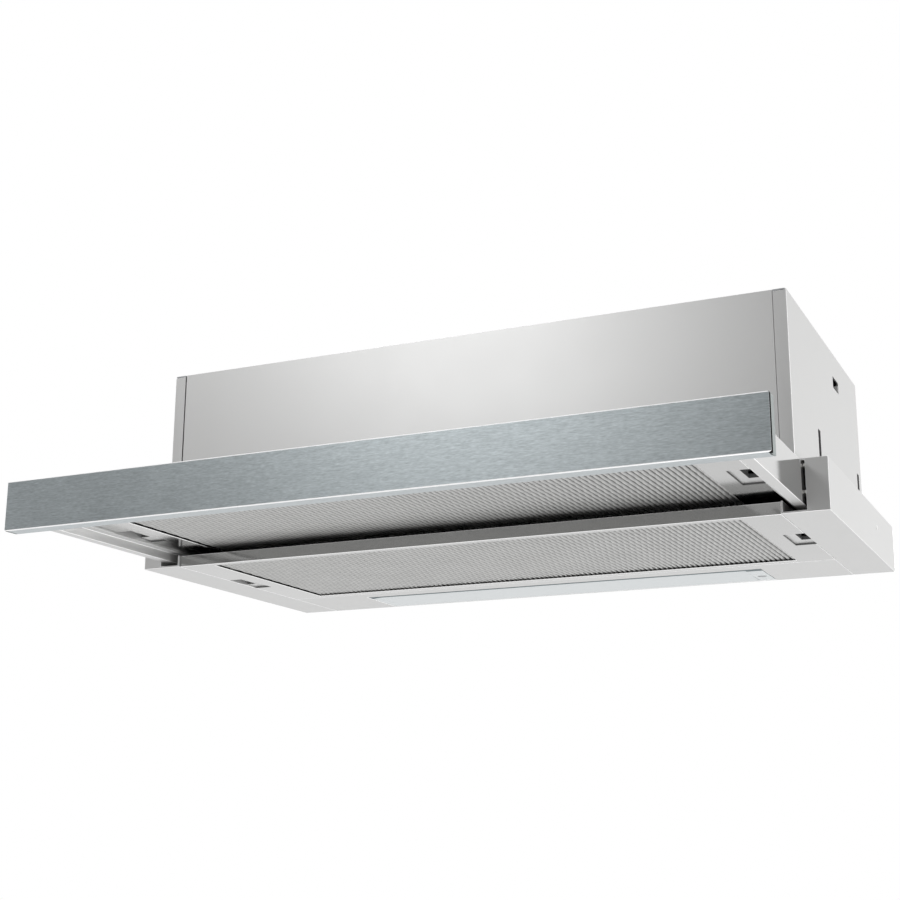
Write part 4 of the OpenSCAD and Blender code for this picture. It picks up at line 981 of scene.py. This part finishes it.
@dataclass
class Hood:
    """The whole hood: sheet pieces with rounded edges, filters and carried-over nodes.

    Fields:
        sheet_bevel: rounding of the sheet edges.
        box_bevel: rounding of the box's edges.
        side_cutouts: boxes round the side panels' slots and window.
        flange_y: place before which a face of a side panel is its flange's front.
        seam_box: box round the seam between the front panel and a side panel's flange.
        seam: how much wider than in the CAD that seam is shown, at the left and the right.
        rail_x: distance from the middle beyond which a rail's wall is its polished outer one.
    """

    sheet_bevel: float = 0.4 * MM
    box_bevel: float = 0.55 * MM
    side_cutouts: tuple = (
        box_mm((260, 35, 58), (280, 55, 90)),
        box_mm((260, 198, 58), (280, 216, 90)),
        box_mm((260, 110, 135), (280, 142, 156)),
    )
    flange_y: float = -50.0 * MM
    seam_box: tuple = box_mm((262, -52, 35), (266.5, -37, 175))
    seam: tuple[float, float] = (0.55 * MM, 0.15 * MM)
    rail_x: float = 279.0 * MM

    def build(self) -> None:
        """Builds every new piece and dresses the nodes that stay."""
        self.sheets()
        DrawerFront().build()
        Lens().build()
        WindowTongue().build()
        filters = {"body": "root", "drawer": "drawer"}
        for name, body in filters.items():
            FilterRim(name, body).build()
        for name, body in filters.items():
            FilterPad(name + "_filter_mesh", body).build()
        self.dress()

    def sheets(self) -> None:
        """Copies the sheet nodes of the body and the drawer."""
        for node in ("guide_left", "guide_right", "rear_panel"):
            worked_copy(node, node + "_sheet", self.sheet_bevel, "root", "painted_silver")
        for node in ("side_panel_left", "side_panel_right"):
            made = worked_copy(node, node + "_sheet", self.box_bevel, "root", "box_panels",
                               plain=(*self.side_cutouts, self.seam_box))
            # the flanges' front faces get a lighter copy of the box paint, painted light
            repaint(made, "corner_flange_lit",
                    lambda at, normal: (normal[1] < -FACING) & (at[1] < self.flange_y))
        worked_copy("back_panel", "back_panel_sheet", self.box_bevel, "root", "box_panels")
        self.front_panel()
        for node in ("rail_left", "rail_right"):
            made = worked_copy(node, node + "_sheet", self.sheet_bevel, "drawer", "painted_silver")
            repaint(made, "polished_silver", lambda at, normal: at[0] * normal[0] > self.rail_x)
        worked_copy("front_bar", "front_bar_sheet", self.sheet_bevel, "drawer", "painted_silver")

    def front_panel(self) -> None:
        """Copies the front panel, with its ends drawn in to show the seams as dark lines."""
        # the front panel takes a lighter copy of the box paint, painted light
        made = worked_copy("front_panel", "front_panel_sheet", self.sheet_bevel, "root", "box_panels",
                           "front_panel_sheet", (self.seam_box,))
        end = self.seam_box[0][0]
        with moved(made.data) as (x, _, _):
            x[x < -end] += self.seam[0]
            x[x > end] -= self.seam[1]

    def dress(self) -> None:
        """Gives each CAD node that stays the finish of its slot in the record."""
        slots = {part["node"]: part["material_slot"] for part in frame["record"]["subparts"]}
        for name, made in frame["nodes"].items():
            made.data.materials.clear()
            made.data.materials.append(MATERIALS.get(name, MATERIALS[slots[name]]))


@dataclass
class Studio:
    """Plain floor, soft light and the camera.

    Fields:
        floor_z: height of the floor, far below the wall-hung hood.
        floor_size: length of the floor's side.
        floor_level: grey level of the floor for the light that it throws back.
        card_y: place of the grey card in front.
        card_half: half of the card's width, and the height of its upper edge.
        card_low: height of its lower edge.
        card_level: its grey level.
        dull: roughness of the floor and the card.
        ambient: level of the surround's light.
        lamps: place, aim, size and power of each lamp.
        camera_at: place of the camera.
        heading: turn of the camera to the left of the Y axis, in radians.
        climb: tilt of the camera above the horizon, in radians.
        roll: turn of the camera about its own axis, in radians.
        focal_px: focal length in pixels of the frame.
        centre_px: the frame's principal point, in pixels.
        frame_px: side of the frame, in pixels.
        sensor: width of the camera's sensor, in millimetres.
    """

    floor_z: float = -2.4
    floor_size: float = 9.0
    floor_level: float = 0.8
    card_y: float = -3.4
    card_half: float = 3.6
    card_low: float = 0.1
    card_level: float = 0.32
    dull: float = 0.9
    ambient: float = 0.5
    lamps: dict = field(default_factory=lambda: {
        "right": ((3.9, 2.25, -0.3), (0, 0, 0.05), 2.0, 98.0),
        "below": ((0.5, 0.2, -2.2), (0, 0, 0), 1.3, 18.0),
        "front": ((-3.57, -7.6, 3.45), (0, 0, 0.07), 1.85, 61.5),
    })
    camera_at: Triple = (0.50321, -1.11815, -0.234)
    heading: float = 0.42092
    climb: float = 0.25272
    roll: float = 0.00044
    focal_px: float = 1508.8
    centre_px: tuple[float, float] = (482.55, 456.42)
    frame_px: float = 900.0
    sensor: float = 36.0

    def build(self) -> None:
        """Builds the floor, the card, the surround, the lamps and the camera."""
        self.floor()
        self.card()
        self.world()
        for name, (at, aim, size, power) in self.lamps.items():
            self.lamp(name, Vector(at), Vector(aim), size, power)
        self.camera()
        bpy.context.scene.view_settings.view_transform = "Standard"

    def floor(self) -> None:
        """Pale floor, white to the camera and in mirrors."""
        half = self.floor_size / 2
        corners = [(x, y, self.floor_z) for y in (-half, half) for x in (-half, half)]
        self.board("floor", corners, self.floor_level, True)

    def card(self) -> None:
        """Grey card in front of the hood, unseen by the camera, which keeps its front faces calm."""
        half = self.card_half
        corners = [(x, self.card_y, z) for z in (self.card_low, half) for x in (-half, half)]
        made = self.board("card", corners, self.card_level)
        made.visible_camera = False
        made.visible_shadow = False

    def board(self, name: str, corners: list[Triple], level: float, white: bool = False) -> Object:
        """Puts up a dull grey board, which isn't part of the hood.

        Args:
            name: the board's name.
            corners: its corners, in two rows of two.
            level: its grey level.
            white: whether it is plain white to the camera and in mirrors.

        Returns:
            The board.
        """
        made = put_mesh(name, np.array(corners), grid_faces(2, 2), False)
        material, t = new_material(name)
        surface = t.add("ShaderNodeBsdfPrincipled", {
            "Base Color": (level, level, level, 1.0),
            "Roughness": self.dull,
        }).outputs[0]
        if white:
            glow = t.add("ShaderNodeEmission").outputs[0]
            surface = t.add("ShaderNodeMixShader", {0: t.seen_directly(), 1: surface, 2: glow}).outputs[0]
        t.add("ShaderNodeOutputMaterial", {"Surface": surface})
        made.data.materials.append(material)
        return made

    def world(self) -> None:
        """Even surround: white to the camera and in mirrors, and a plain level for light."""
        world = bpy.data.worlds.new("surround")
        bpy.context.scene.world = world
        world.use_nodes = True
        world.node_tree.nodes.clear()
        t = Tree(world.node_tree)
        level = t.add("ShaderNodeMix", {0: t.seen_directly(), 2: self.ambient, 3: 1.0}, data_type="FLOAT")
        light = t.add("ShaderNodeBackground", {"Color": (1.0, 1.0, 1.0, 1.0), "Strength": level.outputs[0]})
        t.add("ShaderNodeOutputWorld", {"Surface": light.outputs[0]})

    def lamp(self, name: str, at: Vector, aim: Vector, size: float, power: float) -> None:
        """Puts up a square soft lamp, with the length of its side and its power in watts."""
        data = bpy.data.lights.new(name, "AREA")
        data.size = size
        data.energy = power
        made = put_object(name, data)
        made.location = at
        made.rotation_euler = (aim - at).to_track_quat("-Z", "Y").to_euler()
        made.visible_camera = False

    def camera(self) -> None:
        """Camera at the photograph's place.

        Its view direction is turned by the heading and lifted by the climb, its right and up
        directions are turned by the roll, and the shift moves the principal point.
        """
        a, b, c = self.heading, self.climb, self.roll
        ahead = Vector((-math.sin(a) * math.cos(b), math.cos(a) * math.cos(b), math.sin(b)))
        level = Vector((math.cos(a), math.sin(a), 0.0))
        upright = level.cross(ahead)
        right = level * math.cos(c) + upright * math.sin(c)
        up = upright * math.cos(c) - level * math.sin(c)
        data = bpy.data.cameras.new("camera")
        data.sensor_width = self.sensor
        data.lens = self.sensor * self.focal_px / self.frame_px
        data.shift_x = (self.frame_px / 2 - self.centre_px[0]) / self.frame_px
        data.shift_y = (self.centre_px[1] - self.frame_px / 2) / self.frame_px
        made = put_object("camera", data)
        turn = Matrix((right, up, -ahead)).transposed().to_4x4()
        made.matrix_world = Matrix.Translation(Vector(self.camera_at)) @ turn
        bpy.context.scene.camera = made


def main() -> None:
    """Builds the studio and the hood."""
    logging.basicConfig(level=logging.INFO, format="%(name)s: %(message)s")
    effects = Effects()
    for name, finish in FINISHES.items():
        MATERIALS[name] = finish.material(effects)
        # pale copies of finishes, painted as highlights along folds
        if finish.fold:
            MATERIALS[name + "_fold_highlight"] = finish.fold_highlight().material(effects)
    Studio().build()
    Hood().build()


if __name__ == "__main__":
    main()
